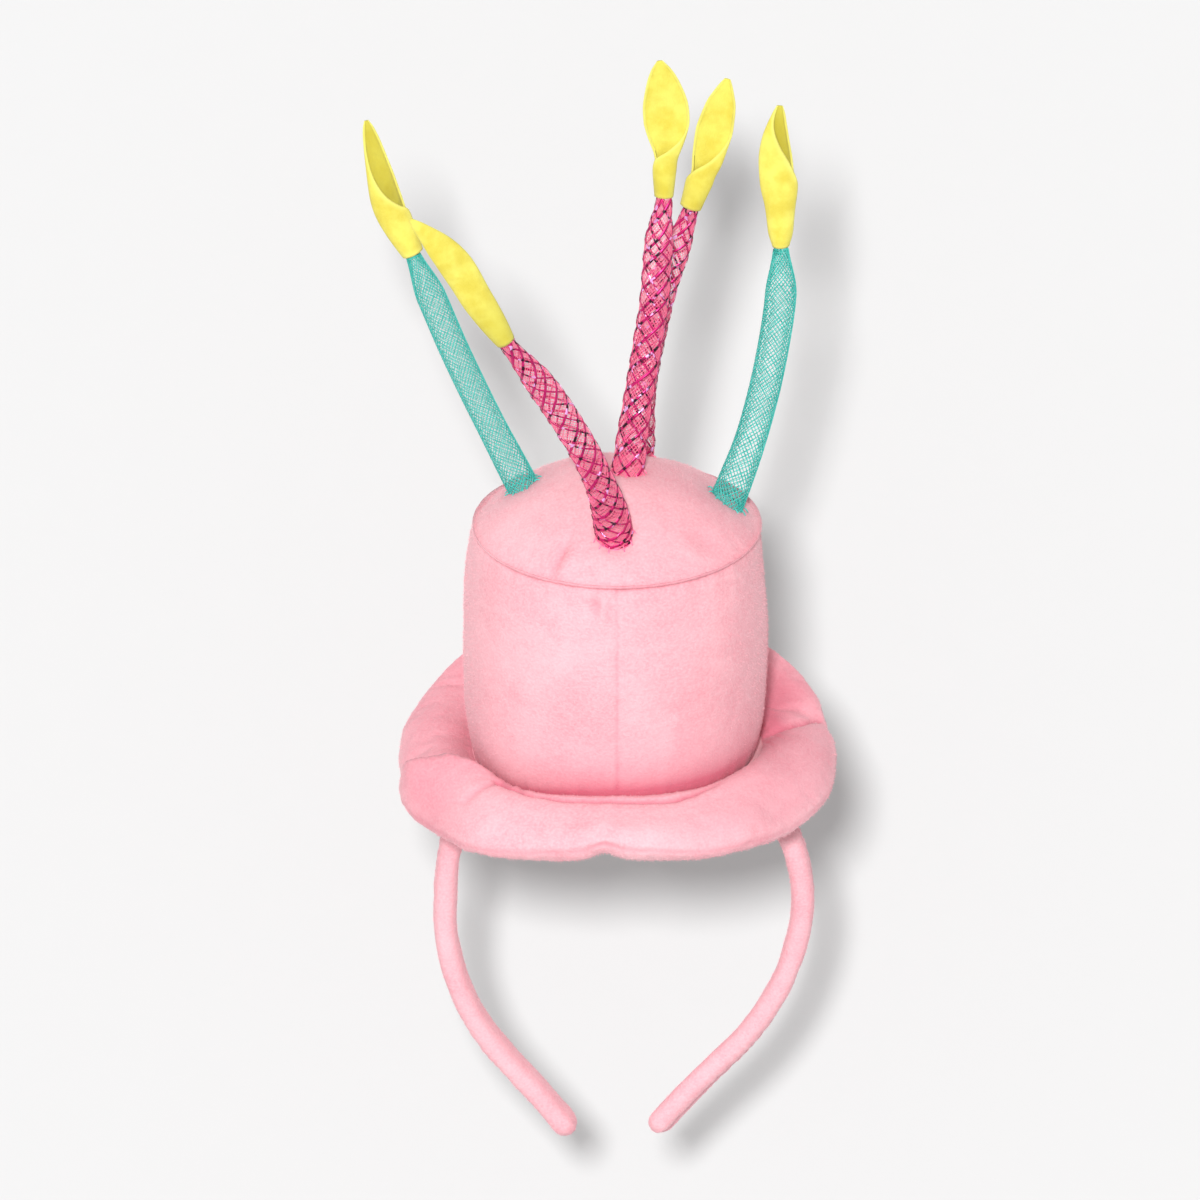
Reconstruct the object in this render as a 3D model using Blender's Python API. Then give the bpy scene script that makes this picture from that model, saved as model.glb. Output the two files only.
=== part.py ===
"""Plush birthday-hat headband.

A stuffed plush top hat with a soft brim is sewn on a plush-covered springy hoop.
Five candles, tubes of woven mesh with a folded felt flame each, are sewn on the crown.

Frame: metres, +Z up, +X to the wearer's left as seen from the front, front at -Y.
The origin is the middle of the hoop's inner face at its top, where the head touches.
"""

import math

import bmesh
import bpy
from mathutils import Vector

MM = 0.001
FIT_GAP = 0.0003  # left between pieces that touch

# Hoop: a plastic strip in a padded plush sleeve, flexing at two places under the brim.
SLEEVE_THICKNESS = 0.0085
SLEEVE_WIDTH = 0.0130
CORE_THICKNESS = 0.0018
CORE_WIDTH = 0.0080
CORE_END_INSET = 0.0060
TIP_ROUNDING = 0.0060
FLEX_CLEARANCE = 0.00045
RIGHT_LEG_TWIST = math.radians(28)
# The middle of the strip from the left tip over the top to the right tip, (x, z) in mm.
LEFT_LEG = ((-16.2, -139.5), (-28.8, -123.5), (-46.2, -102.0), (-57.4, -81.0), (-62.8, -59.0),
            (-63.2, -42.0), (-61.8, -26.0))
LEFT_FLEX = (-57.8, -13.5)
BRIDGE = ((-49.0, -4.6), (-30.0, 1.7), (0.0, 4.25), (30.0, 1.9), (51.0, -4.2))
RIGHT_FLEX = (60.2, -12.6)
RIGHT_LEG = ((65.8, -25.0), (68.3, -42.0), (66.6, -59.0), (60.0, -79.5), (48.8, -98.5),
             (28.1, -121.5), (13.4, -139.0))

# Crown: a side panel, a domed top panel and the stuffing inside them.
PANEL = 0.0012
HAT_UNDERSIDE_Z = 0.0090
BRIM_MID_Z = 0.0155
SEAM_Z = 0.1080
SEAM_RADIUS = 0.0525
DOME_RISE = 0.0230
# The crown's outer wall, (radius, z) in mm, from just above the bottom panel to the seam.
CROWN_WALL = ((52.3, 10.5), (52.5, 20.0), (53.9, 26.5), (55.4, 37.0), (56.0, 54.0), (55.9, 74.0),
              (54.9, 92.0), (52.9, 106.8))
CROWN_SEGMENTS = 40

# Brim: a stuffed ring that curls up at the back and droops at both front corners.
BRIM_INNER_RADIUS = 0.0529
BRIM_RADIUS = 0.0811
BRIM_HALF_THICKNESS = 0.0070
BRIM_SQUARENESS = 2.6
BRIM_SEGMENTS = 40
BRIM_EDGE_ANGLE = 3.0  # the two panels end this far either side of the edge seam
FILLING_GAP = 0.0010
FLOOR_RADIUS = 0.0600
# Lift of the outer edge in mm, every 30 degrees from +X through the back (+Y) and the left.
BRIM_LIFT_MM = (-2.0, 8.5, 17.0, 18.0, 15.0, 5.0, -4.5, -9.5, -5.5, 0.5, -4.5, -6.0)

# Candles.
TUBE_WALL = 0.0006
TUBE_TOP_RADIUS = 0.0014
TUBE_SEGMENTS = 12
TUBE_RINGS = 11
FLAME_RINGS = 11
CANDLE_SPANS = 6
TAPER_LENGTH = 0.0200
FLARE_LENGTH = 0.0300
SWAY_CLEARANCE = 0.0022  # a tube's foot stays this far above the dome, so that it can sway
STITCH_RADIUS = 0.0004
STITCH_SEGMENTS = 16

# Flames: a felt leaf rolled round the tube's top, opening upward.
FELT = 0.0010
WRAP_RADIUS = 0.0027
WRAP_ANGLE = math.radians(160)
WRAP_OVERLAP = 0.0090
ROLLED_SHARE = 0.22  # up to this share of its length a flame is rolled
OPEN_SHARE = 0.55  # from this share on it is fully open
LEAF_WIDTH = 0.0170
LEAF_RADIUS = 0.0095
LEAF_TIP_WIDTH = 0.0020

# Every candle: middle line and flame line in mm, radius in the middle and at the foot,
# and the direction in the XY plane that the flame's open side faces, in degrees.
CANDLES = {
    "left": {
        "colour": "teal_mesh",
        "line": ((-34.5, 9.5, 120.0), (-48.1, 10.5, 148.7), (-59.1, 12.0, 173.3),
                 (-67.2, 13.0, 193.6), (-74.3, 14.0, 211.0)),
        "flame": ((-74.9, 14.0, 212.5), (-82.2, 15.0, 228.3), (-86.6, 15.5, 244.3),
                  (-91.8, 17.0, 266.0)),
        "radius": 0.0053, "foot_radius": 0.0058, "facing": -40.0,
    },
    "front": {
        "colour": "pink_mesh",
        "line": ((-1.1, -33.0, 122.0), (-4.0, -35.5, 136.4), (-10.3, -39.0, 154.9),
                 (-18.7, -44.0, 176.1), (-27.5, -49.0, 192.8), (-38.2, -54.0, 206.7)),
        "flame": ((-40.4, -55.0, 210.1), (-50.3, -57.0, 227.3), (-60.6, -59.0, 245.1),
                  (-76.0, -61.0, 262.8)),
        "radius": 0.0048, "foot_radius": 0.0068, "facing": -80.0,
    },
    "centre": {
        "colour": "pink_mesh",
        "line": ((4.0, 1.5, 131.0), (6.8, 6.0, 150.9), (10.3, 11.0, 171.8), (13.6, 15.5, 192.4),
                 (15.4, 19.5, 216.2), (17.2, 21.5, 229.9)),
        "flame": ((17.4, 22.0, 231.8), (17.6, 23.5, 244.5), (18.0, 26.0, 261.6),
                  (15.4, 29.0, 284.6)),
        "radius": 0.0051, "foot_radius": 0.0057, "facing": -95.0,
    },
    "back": {
        "colour": "pink_mesh",
        "line": ((7.5, 34.0, 121.0), (9.2, 34.5, 148.1), (13.6, 35.0, 173.6), (17.6, 35.5, 190.9),
                 (22.8, 36.5, 206.7), (26.4, 37.0, 217.4)),
        "flame": ((27.2, 37.0, 220.3), (31.6, 38.0, 234.5), (36.3, 40.0, 252.8),
                  (40.7, 42.0, 271.0)),
        "radius": 0.0049, "foot_radius": 0.0060, "facing": -75.0,
    },
    "right": {
        "colour": "teal_mesh",
        "line": ((40.5, 4.0, 116.9), (48.1, 5.5, 138.6), (53.6, 7.0, 159.4), (57.6, 8.0, 180.6),
                 (59.8, 9.0, 198.5), (59.8, 10.0, 215.6)),
        "flame": ((59.5, 10.0, 217.6), (59.1, 11.0, 236.2), (58.0, 12.5, 255.9),
                  (59.5, 14.0, 273.6)),
        "radius": 0.0056, "foot_radius": 0.0063, "facing": -130.0,
    },
}

# Base colour, roughness and metallic of each material.
MATERIALS = {
    "plush": ((0.93, 0.50, 0.56, 1.0), 0.95, 0.0),
    "stuffing": ((0.90, 0.90, 0.88, 1.0), 1.0, 0.0),
    "hoop_plastic": ((0.80, 0.80, 0.80, 1.0), 0.35, 0.0),
    "thread": ((0.90, 0.45, 0.52, 1.0), 0.8, 0.0),
    "teal_mesh": ((0.05, 0.55, 0.48, 1.0), 0.45, 0.0),
    "pink_mesh": ((0.85, 0.08, 0.22, 1.0), 0.45, 0.0),
    "yellow_felt": ((0.95, 0.87, 0.12, 1.0), 0.95, 0.0),
}


# ---------------------------------------------------------------- shared geometry


def clear_scene():
    """Remove everything that the scene starts with."""
    for thing in list(bpy.data.objects):
        bpy.data.objects.remove(thing, do_unlink=True)


def material(name):
    """The material of that name, made the first time it is asked for."""
    found = bpy.data.materials.get(name)
    if found:
        return found
    colour, roughness, metallic = MATERIALS[name]
    made = bpy.data.materials.new(name)
    made.use_nodes = True
    shader = made.node_tree.nodes["Principled BSDF"]
    shader.inputs["Base Color"].default_value = colour
    shader.inputs["Roughness"].default_value = roughness
    shader.inputs["Metallic"].default_value = metallic
    made.diffuse_color = colour
    return made


def solid(name, vertices, faces, finish, origin=(0.0, 0.0, 0.0)):
    """One closed object: vertices are in the row frame, its own origin is where asked."""
    mesh = bpy.data.meshes.new(name)
    start = Vector(origin)
    mesh.from_pydata([Vector(v) - start for v in vertices], [], faces)
    body = bmesh.new()
    body.from_mesh(mesh)
    bmesh.ops.recalc_face_normals(body, faces=body.faces)
    body.to_mesh(mesh)
    body.free()
    mesh.shade_smooth()
    mesh.set_sharp_from_angle(angle=math.radians(40))
    mesh.materials.append(material(finish))
    thing = bpy.data.objects.new(name, mesh)
    thing.location = start
    bpy.context.scene.collection.objects.link(thing)
    return thing


def strips(loops, closed):
    """Quads between loops of equal length; closed also joins the last loop to the first."""
    count = len(loops[0])
    pairs = len(loops) if closed else len(loops) - 1
    faces = []
    for i in range(pairs):
        here, there = i * count, (i + 1) % len(loops) * count
        for j in range(count):
            k = (j + 1) % count
            faces.append((here + j, here + k, there + k, there + j))
    return faces


def capped(name, loops, finish, origin=(0.0, 0.0, 0.0)):
    """A solid skinned over loops, with a flat face on the first and on the last."""
    count = len(loops[0])
    last = (len(loops) - 1) * count
    faces = strips(loops, closed=False)
    faces.append(tuple(reversed(range(count))))
    faces.append(tuple(range(last, last + count)))
    return solid(name, [v for loop in loops for v in loop], faces, finish, origin)


def ring_shaped(name, loops, finish, origin=(0.0, 0.0, 0.0)):
    """A solid skinned over loops that close on themselves, with a way through it."""
    vertices = [v for loop in loops for v in loop]
    return solid(name, vertices, strips(loops, closed=True), finish, origin)


def catmull(points, spans):
    """A smooth line through every point, with that many steps between two of them."""
    known = [Vector(p) for p in points]
    known = [2 * known[0] - known[1], *known, 2 * known[-1] - known[-2]]
    line = []
    for a, b, c, d in zip(known, known[1:], known[2:], known[3:]):
        for step in range(spans):
            t = step / spans
            line.append(0.5 * (2 * b + (c - a) * t + (2 * a - 5 * b + 4 * c - d) * t * t
                               + (3 * b - a - 3 * c + d) * t * t * t))
    line.append(known[-2])
    return line


def distances(line):
    """How far along a line each of its points is."""
    along = [0.0]
    for a, b in zip(line, line[1:]):
        along.append(along[-1] + (b - a).length)
    return along


def stretch(line, start, stop, count):
    """That many points at equal distances on a line, between two distances along it."""
    along, points, i = distances(line), [], 0
    for n in range(count):
        want = start + (stop - start) * n / (count - 1)
        while i < len(line) - 2 and along[i + 1] < want:
            i += 1
        share = (want - along[i]) / (along[i + 1] - along[i])
        points.append(line[i].lerp(line[i + 1], share))
    return points


def tangents(line):
    """The direction of travel at every point of a line."""
    ends = [line[0], *line, line[-1]]
    return [(c - a).normalized() for a, c in zip(ends, ends[2:])]


def smooth_step(t):
    """From 0 to 1 with no corner at either end."""
    t = min(max(t, 0.0), 1.0)
    return t * t * (3 - 2 * t)


def turned(profile, segments, height=None):
    """Loops of a profile of (radius, z) turned about Z; height may change a point's place."""
    loops = []
    for radius, z in profile:
        loop = []
        for n in range(segments):
            angle = 2 * math.pi * n / segments
            r, h = (radius, z) if height is None else height(radius, z, angle)
            loop.append((r * math.cos(angle), r * math.sin(angle), h))
        loops.append(loop)
    return loops


# ---------------------------------------------------------------- hoop and its sleeve


def rounded_section(width, thickness, sides=12):
    """Points (across, through) of a strip's section with full, soft corners."""
    points = []
    for n in range(sides):
        angle = 2 * math.pi * (n + 0.5) / sides
        c, s = math.cos(angle), math.sin(angle)
        points.append((width / 2 * math.copysign(abs(c) ** 0.65, c),
                       thickness / 2 * math.copysign(abs(s) ** 0.65, s)))
    return points


def hoop_line():
    """The strip's middle line as three stretches: left leg, bridge and right leg."""
    flat = (*LEFT_LEG, LEFT_FLEX, *BRIDGE, RIGHT_FLEX, *RIGHT_LEG)
    line = catmull([(x * MM, 0.0, z * MM) for x, z in flat], 2)
    left, right = 2 * len(LEFT_LEG), 2 * (len(LEFT_LEG) + len(BRIDGE) + 1)
    return line[left::-1], line[left:right + 1], line[right:]


def strip_loop(point, direction, section, scale=1.0, twist=0.0, bulge=0.0):
    """One loop of a strip: its width along Y, its thickness along the hoop's normal.

    A bulge rounds the loop against the direction of travel, about the Y axis.
    """
    across = Vector((0, 1, 0))
    through = direction.cross(across).normalized()
    loop = []
    for w, t in section:
        w, t = w * scale, t * scale
        w, t = (w * math.cos(twist) - t * math.sin(twist),
                w * math.sin(twist) + t * math.cos(twist))
        back = math.sqrt(max(bulge * bulge - t * t, 0.0)) if bulge else 0.0
        loop.append(point + across * w + through * t - direction * back)
    return loop


def leg_twist(share, side):
    """How far the strip has turned about its own line at that share of a leg."""
    return RIGHT_LEG_TWIST * smooth_step((share - 0.25) / 0.6) if side == "right" else 0.0


def leg_loops(line, section, side, inset, rounding):
    """Loops of one leg from its round flex end to its tip."""
    ways = tangents(line)
    total = sum((b - a).length for a, b in zip(line, line[1:]))
    loops, run = [], 0.0
    for i, (point, way) in enumerate(zip(line, ways)):
        run += (point - line[i - 1]).length if i else 0.0
        if run > total - inset - rounding - 0.001:
            break
        bulge = SLEEVE_THICKNESS / 2 if i == 0 else 0.0
        loops.append(strip_loop(point, way, section, 1.0, leg_twist(run / total, side), bulge))
    tip, way = line[-1], ways[-1]
    twist = leg_twist(1.0, side)
    for angle in (0, 35, 62, 82) if rounding else (0,):
        a = math.radians(angle)
        place = tip - way * (inset + rounding * (1 - math.sin(a)))
        loops.append(strip_loop(place, way, section, math.cos(a) if rounding else 1.0, twist))
    return loops


def build_hoop():
    """The plastic core and the plush sleeve, each as two legs and a bridge."""
    left, bridge, right = hoop_line()
    outer = rounded_section(SLEEVE_WIDTH, SLEEVE_THICKNESS)
    core = rounded_section(CORE_WIDTH, CORE_THICKNESS)
    hole = rounded_section(CORE_WIDTH + 2 * FIT_GAP, CORE_THICKNESS + 2 * FIT_GAP)
    for side, line in (("left", left), ("right", right)):
        flex = line[0]
        cavity = leg_loops(line, hole, side, CORE_END_INSET - FIT_GAP, 0.0)
        skin = leg_loops(line, outer, side, 0.0, TIP_ROUNDING)
        capped(f"sleeve_leg_{side}", [*reversed(cavity), *skin], "plush", flex)
        strip = leg_loops(line, core, side, CORE_END_INSET, 0.0)
        capped(f"hoop_leg_{side}", strip, "hoop_plastic", flex)
    ways = tangents(bridge)
    skin = [strip_loop(p, w, outer) for p, w in zip(bridge, ways)]
    cavity = [strip_loop(p, w, hole) for p, w in zip(bridge, ways)]
    sleeve = ring_shaped("sleeve_bridge", [*skin, *reversed(cavity)], "plush")
    strip = [strip_loop(p, w, core) for p, w in zip(bridge, ways)]
    inner = capped("hoop_bridge", strip, "hoop_plastic")
    for side, point in (("left", bridge[0]), ("right", bridge[-1])):
        cutter = flex_cutter(side, point)
        hollow_out(sleeve, cutter)
        hollow_out(inner, cutter)


def flex_cutter(side, point):
    """A guide cylinder along Y that hollows the bridge's end to take a leg's round end."""
    radius = SLEEVE_THICKNESS / 2 + FLEX_CLEARANCE
    loops = []
    for y in (-SLEEVE_WIDTH, SLEEVE_WIDTH):
        loops.append([(point.x + radius * math.cos(2 * math.pi * n / 36), y,
                       point.z + radius * math.sin(2 * math.pi * n / 36)) for n in range(36)])
    cutter = capped(f"flex_guide_{side}", loops, "hoop_plastic")
    cutter.hide_render = True
    cutter.display_type = "WIRE"
    return cutter


def hollow_out(thing, cutter):
    """Cut a guide's shape from an object."""
    cut = thing.modifiers.new(cutter.name, "BOOLEAN")
    cut.operation = "DIFFERENCE"
    cut.object = cutter


# ---------------------------------------------------------------- crown


def dome_height(radius):
    """Height of the crown's domed top at that radius."""
    return SEAM_Z + DOME_RISE * (1 - (radius / SEAM_RADIUS) ** 2)


def dome_profile(inset, rim):
    """(radius, z) from the rim to near the middle of the dome, that far under its surface."""
    profile = []
    for share in (1.0, 0.86, 0.66, 0.42, 0.16):
        radius = rim * share
        slope = 2 * DOME_RISE * radius / SEAM_RADIUS**2
        length = math.hypot(1, slope)
        profile.append((radius - inset * slope / length,
                        dome_height(radius) - inset / length))
    return profile


def wall_profile(inset):
    """(radius, z) up the crown's wall, that far inside it."""
    return [(r * MM - inset, z * MM) for r, z in CROWN_WALL]


def build_crown():
    """The side panel, the domed top panel and the stuffing they hold."""
    wall = [*wall_profile(0.0), *reversed(wall_profile(PANEL))]
    ring_shaped("crown_side_panel", turned(wall, CROWN_SEGMENTS), "plush")
    rim = SEAM_RADIUS - FIT_GAP
    shell = [*reversed(dome_profile(PANEL, rim)), *dome_profile(0.0, rim)]
    capped("crown_top_panel", turned(shell, CROWN_SEGMENTS), "plush")
    inset = PANEL + FIT_GAP
    filling = [*wall_profile(inset), *dome_profile(inset, SEAM_RADIUS - 2 * inset)]
    capped("crown_stuffing", turned(filling, CROWN_SEGMENTS // 2), "stuffing")


# ---------------------------------------------------------------- brim


def brim_lift(angle):
    """Lift of the brim's outer edge in that direction, smooth all the way round."""
    count = len(BRIM_LIFT_MM)
    place = angle / (2 * math.pi) * count
    i = math.floor(place)
    t = place - i
    a, b, c, d = (BRIM_LIFT_MM[(i + k) % count] for k in (-1, 0, 1, 2))
    return MM * 0.5 * (2 * b + (c - a) * t + (2 * a - 5 * b + 4 * c - d) * t * t
                       + (3 * b - a - 3 * c + d) * t * t * t)


def curled(radius, z, angle):
    """A point of the flat brim as it lies on the curled one."""
    share = max(0.0, (radius - FLOOR_RADIUS) / (BRIM_RADIUS - FLOOR_RADIUS))
    lift = brim_lift(angle) * share**1.5
    return radius - 0.12 * abs(lift) * share, z + lift


def brim_arc(inset, angles):
    """(radius, z) round the brim's soft section at those angles, in degrees from its edge."""
    middle = (BRIM_RADIUS + BRIM_INNER_RADIUS) / 2
    half = (BRIM_RADIUS - BRIM_INNER_RADIUS) / 2 - inset
    high = BRIM_HALF_THICKNESS - inset
    power = 2 / BRIM_SQUARENESS
    profile = []
    for angle in angles:
        c, s = math.cos(math.radians(angle)), math.sin(math.radians(angle))
        radius = middle + half * math.copysign(abs(c) ** power, c)
        z = BRIM_MID_Z + high * math.copysign(abs(s) ** power, s)
        profile.append((radius, max(z, HAT_UNDERSIDE_Z + inset)))
    return profile


def build_brim():
    """The top panel, the bottom panel that also closes the crown, and the filling."""
    over = (BRIM_EDGE_ANGLE, 30, 60, 90, 120, 150, 180)
    top = [*brim_arc(0.0, over), *reversed(brim_arc(PANEL, over))]
    ring_shaped("brim_top_panel", turned(top, BRIM_SEGMENTS, curled), "plush")
    under = (-120, -90, -60, -30, -BRIM_EDGE_ANGLE)
    floor = [(FLOOR_RADIUS * share, HAT_UNDERSIDE_Z) for share in (0.45, 0.92)]
    ceiling = [(r, HAT_UNDERSIDE_Z + PANEL) for r, _ in reversed(floor)]
    bottom = [*floor, *brim_arc(0.0, under), *reversed(brim_arc(PANEL, under)), *ceiling]
    capped("brim_bottom_panel", turned(bottom, BRIM_SEGMENTS, curled), "plush")
    filling = brim_arc(PANEL + FILLING_GAP, range(0, 360, 30))
    ring_shaped("brim_filling", turned(filling, BRIM_SEGMENTS, curled), "stuffing")


# ---------------------------------------------------------------- sewing


def build_band_tacks():
    """Thread bars, left and right, that hold the hat's underside to the sleeve."""
    for side, sign in (("left", -1), ("right", 1)):
        loops = []
        for share in (-1.0, -0.6, 0.0, 0.6, 1.0):
            x = sign * 0.0200 + 0.0022 * share
            half = 0.0006 * math.sqrt(1.1 - share * share)
            z = 0.0081
            loops.append([(x, 0.0035 * math.cos(a) * math.sqrt(1.1 - share * share),
                           z + half * math.sin(a))
                          for a in (2 * math.pi * n / 10 for n in range(10))])
        capped(f"band_tack_{side}", loops, "thread")


# ---------------------------------------------------------------- candles


def tube_radius(run, total, mid, foot):
    """Outer radius of a mesh tube at that distance from its foot."""
    flare = (foot - mid) * (1 - smooth_step(run / FLARE_LENGTH))
    taper = smooth_step((total - WRAP_OVERLAP - run) / TAPER_LENGTH)
    return TUBE_TOP_RADIUS + (mid - TUBE_TOP_RADIUS) * taper + flare


def onto_dome(point, way, lift):
    """Slide a point along a direction until it is that far above the dome."""
    for _ in range(6):
        radius = math.hypot(point.x, point.y)
        miss = point.z - dome_height(radius) - lift
        fall = 2 * DOME_RISE / SEAM_RADIUS**2 * (point.x * way.x + point.y * way.y)
        point = point - way * (miss / (way.z + fall))
    return point


def tube_loops(line, ways, total, spec, inset):
    """Loops of a mesh tube from its slanted foot, which follows the dome, to its top."""
    loops = []
    for n, (point, way) in enumerate(zip(line, ways)):
        run = total * n / (len(line) - 1)
        radius = tube_radius(run, total, spec["radius"], spec["foot_radius"]) - inset
        side = Vector((0, 1, 0)).cross(way).normalized()
        depth = way.cross(side)
        loop = []
        for k in range(TUBE_SEGMENTS):
            angle = 2 * math.pi * k / TUBE_SEGMENTS
            place = point + radius * (math.cos(angle) * side + math.sin(angle) * depth)
            foot = onto_dome(place - way * run, way, SWAY_CLEARANCE)
            slant = (foot - (place - way * run)).dot(way)
            loop.append(place + way * slant * (1 - smooth_step(run / FLARE_LENGTH)))
        loops.append(loop)
    return loops


def candle_lines(spec):
    """The middle line of a candle's tube, up into the flame's roll, and the flame's own."""
    line = catmull([Vector(p) * MM for p in (*spec["line"], *spec["flame"])], CANDLE_SPANS)
    along = distances(line)
    neck = along[CANDLE_SPANS * len(spec["line"])]
    return (stretch(line, 0.0, neck + WRAP_OVERLAP, TUBE_RINGS),
            stretch(line, neck, along[-1], FLAME_RINGS), neck + WRAP_OVERLAP)


def build_tube(name, spec, line, total):
    """One mesh tube, open at both ends, with its origin on its sway axis at the dome."""
    ways = tangents(line)
    outside = tube_loops(line, ways, total, spec, 0.0)
    inside = tube_loops(line, ways, total, spec, TUBE_WALL)
    ring_shaped(f"candle_tube_{name}", [*outside, *reversed(inside)], spec["colour"], line[0])


def build_flame(name, spec, line, origin):
    """A felt leaf: rolled round the tube's top, then opening into a hollow, pointed flame."""
    ways = tangents(line)
    facing = math.radians(spec["facing"])
    front = Vector((math.cos(facing), math.sin(facing), 0))
    last = len(line) - 1
    faces_out, faces_in = [], []
    for n, (point, way) in enumerate(zip(line, ways)):
        share = n / last
        opened = smooth_step((share - ROLLED_SHARE) / (OPEN_SHARE - ROLLED_SHARE))
        radius = WRAP_RADIUS + (LEAF_RADIUS - WRAP_RADIUS) * opened
        wide = LEAF_WIDTH * (1 - smooth_step((share - 0.50) / 0.62)) + LEAF_TIP_WIDTH * share
        half = min(WRAP_ANGLE, wide / 2 / radius)
        depth = (front - way * front.dot(way)).normalized()
        side = way.cross(depth)
        back = -radius * opened * 0.9
        for row, r in ((faces_out, radius + FELT / 2), (faces_in, radius - FELT / 2)):
            row.append([point - depth * back
                        + r * (math.sin(a) * side - math.cos(a) * depth)
                        for a in (half * k / 4 for k in range(-4, 5))])
    rolls = [[*outer, *reversed(inner)] for outer, inner in zip(faces_out, faces_in)]
    capped(f"flame_{name}", rolls, "yellow_felt", origin)


def build_foot_stitch(name, spec, origin):
    """The ring of thread that sews a tube's foot to the dome."""
    ring = spec["foot_radius"] + 0.0014
    loops = []
    for n in range(STITCH_SEGMENTS):
        angle = 2 * math.pi * n / STITCH_SEGMENTS
        out = Vector((math.cos(angle), math.sin(angle), 0))
        place = origin + out * ring
        radius = math.hypot(place.x, place.y)
        place.z = dome_height(radius)
        normal = Vector((2 * DOME_RISE * place.x / SEAM_RADIUS**2,
                         2 * DOME_RISE * place.y / SEAM_RADIUS**2, 1)).normalized()
        middle = place + normal * (STITCH_RADIUS + FIT_GAP)
        loops.append([middle + STITCH_RADIUS * (math.cos(a) * normal + math.sin(a) * out)
                      for a in (2 * math.pi * k / 5 for k in range(5))])
    ring_shaped(f"foot_stitch_{name}", loops, spec["colour"])


def build_candles():
    """Five candles: tube, felt flame and the thread that sews the tube to the crown."""
    for name, spec in CANDLES.items():
        tube_line, flame_line, total = candle_lines(spec)
        build_tube(name, spec, tube_line, total)
        build_flame(name, spec, flame_line, tube_line[0])
        build_foot_stitch(name, spec, tube_line[0])


def main():
    """Build the whole headband."""
    clear_scene()
    build_hoop()
    build_crown()
    build_brim()
    build_band_tacks()
    build_candles()


main()
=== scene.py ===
"""Looks of the plush birthday-hat headband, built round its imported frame.

Row frame: +Z up, the front at -Y, +X to the right as seen from the front.
Sizes are in millimetres and turn into metres as they enter a mesh.
"""

import logging
import math
from dataclasses import dataclass, field
from enum import Enum
from typing import Sequence

import bpy
import numpy as np
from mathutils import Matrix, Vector, noise


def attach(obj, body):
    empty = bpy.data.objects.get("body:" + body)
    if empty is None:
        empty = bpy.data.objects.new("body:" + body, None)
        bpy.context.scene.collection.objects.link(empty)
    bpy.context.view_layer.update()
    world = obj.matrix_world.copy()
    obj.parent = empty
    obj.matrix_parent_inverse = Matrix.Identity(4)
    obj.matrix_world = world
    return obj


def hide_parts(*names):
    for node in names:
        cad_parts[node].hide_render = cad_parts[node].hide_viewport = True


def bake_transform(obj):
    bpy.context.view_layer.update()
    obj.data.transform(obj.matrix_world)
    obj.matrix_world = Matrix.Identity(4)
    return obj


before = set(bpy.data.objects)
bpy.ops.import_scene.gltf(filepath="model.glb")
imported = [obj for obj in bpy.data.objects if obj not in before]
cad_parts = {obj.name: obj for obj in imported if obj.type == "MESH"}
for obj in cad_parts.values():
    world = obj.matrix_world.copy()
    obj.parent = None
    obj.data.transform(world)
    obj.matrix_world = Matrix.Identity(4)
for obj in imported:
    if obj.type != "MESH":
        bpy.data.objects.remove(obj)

Array = np.ndarray
Piece = bpy.types.Object
MM = 0.001
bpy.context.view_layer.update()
LOG = logging.getLogger("headband")
TURN = 2 * math.pi
VIEW_TILT = 26.0  # how far down the camera looks, in degrees


class Slot(str, Enum):
    """The record's material slots."""

    PLUSH = "pink_plush"
    FILLING = "fibre_filling"
    PLASTIC = "hoop_plastic"
    THREAD = "sewing_thread"
    TEAL_NET = "teal_mesh"
    PINK_NET = "pink_mesh"
    FELT = "yellow_felt"


class Side(Enum):
    """A side of the headband, as the sign of its X."""

    LEFT = -1
    RIGHT = 1

    @property
    def word(self) -> str:
        """The side's name as bodies and pieces spell it."""
        return self.name.lower()


# ---------------------------------------------------------------- small maths


def smooth(share: Array) -> Array:
    """A step from 0 to 1 with no corner at either end."""
    t = np.clip(share, 0.0, 1.0)
    return t * t * (3 - 2 * t)


def hill(distance: Array, width: float) -> Array:
    """A bell of height 1 that has almost gone at twice its width."""
    return np.exp(-((np.asarray(distance) / width) ** 2))


def unit(vectors: Array) -> Array:
    """The same directions with a length of 1."""
    return vectors / np.maximum(np.linalg.norm(vectors, axis=-1, keepdims=True), 1e-12)


def outwards(loops: Array) -> Array:
    """The outward direction at each point of loops that turn right-handed as they travel."""
    round_it = np.roll(loops, -1, axis=1) - np.roll(loops, 1, axis=1)
    return unit(np.cross(round_it, np.gradient(loops, axis=0)))


def from_degrees(angle: Array, centre: float) -> Array:
    """How many degrees an angle in radians lies from a centre in degrees, the short way round."""
    return (np.degrees(angle) - centre + 180.0) % 360.0 - 180.0


def ring_of(angle: Array) -> Array:
    """Points on a circle of radius 1 in those directions, for patterns that run round a seam."""
    return np.stack([np.cos(angle), np.sin(angle), 0 * angle], -1)


def turned(radius: Array, angle: Array, z: Array) -> Array:
    """The points at those radii, directions and heights."""
    return np.stack([radius * np.cos(angle), radius * np.sin(angle), z], -1)


def lumps(points: Array, size: float, seed: float) -> Array:
    """Smooth random values from about -1 to 1, one for each point.

    Args:
        points: Places in millimetres, in an array whose last axis is x, y, z.
        size: How far apart the lumps are, in millimetres.
        seed: Picks one of many different patterns.

    Returns:
        An array of the points' shape without its last axis.
    """
    flat = points.reshape(-1, 3) / size + seed
    values = [noise.noise(Vector(p)) for p in flat]
    return np.array(values).reshape(points.shape[:-1])


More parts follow.
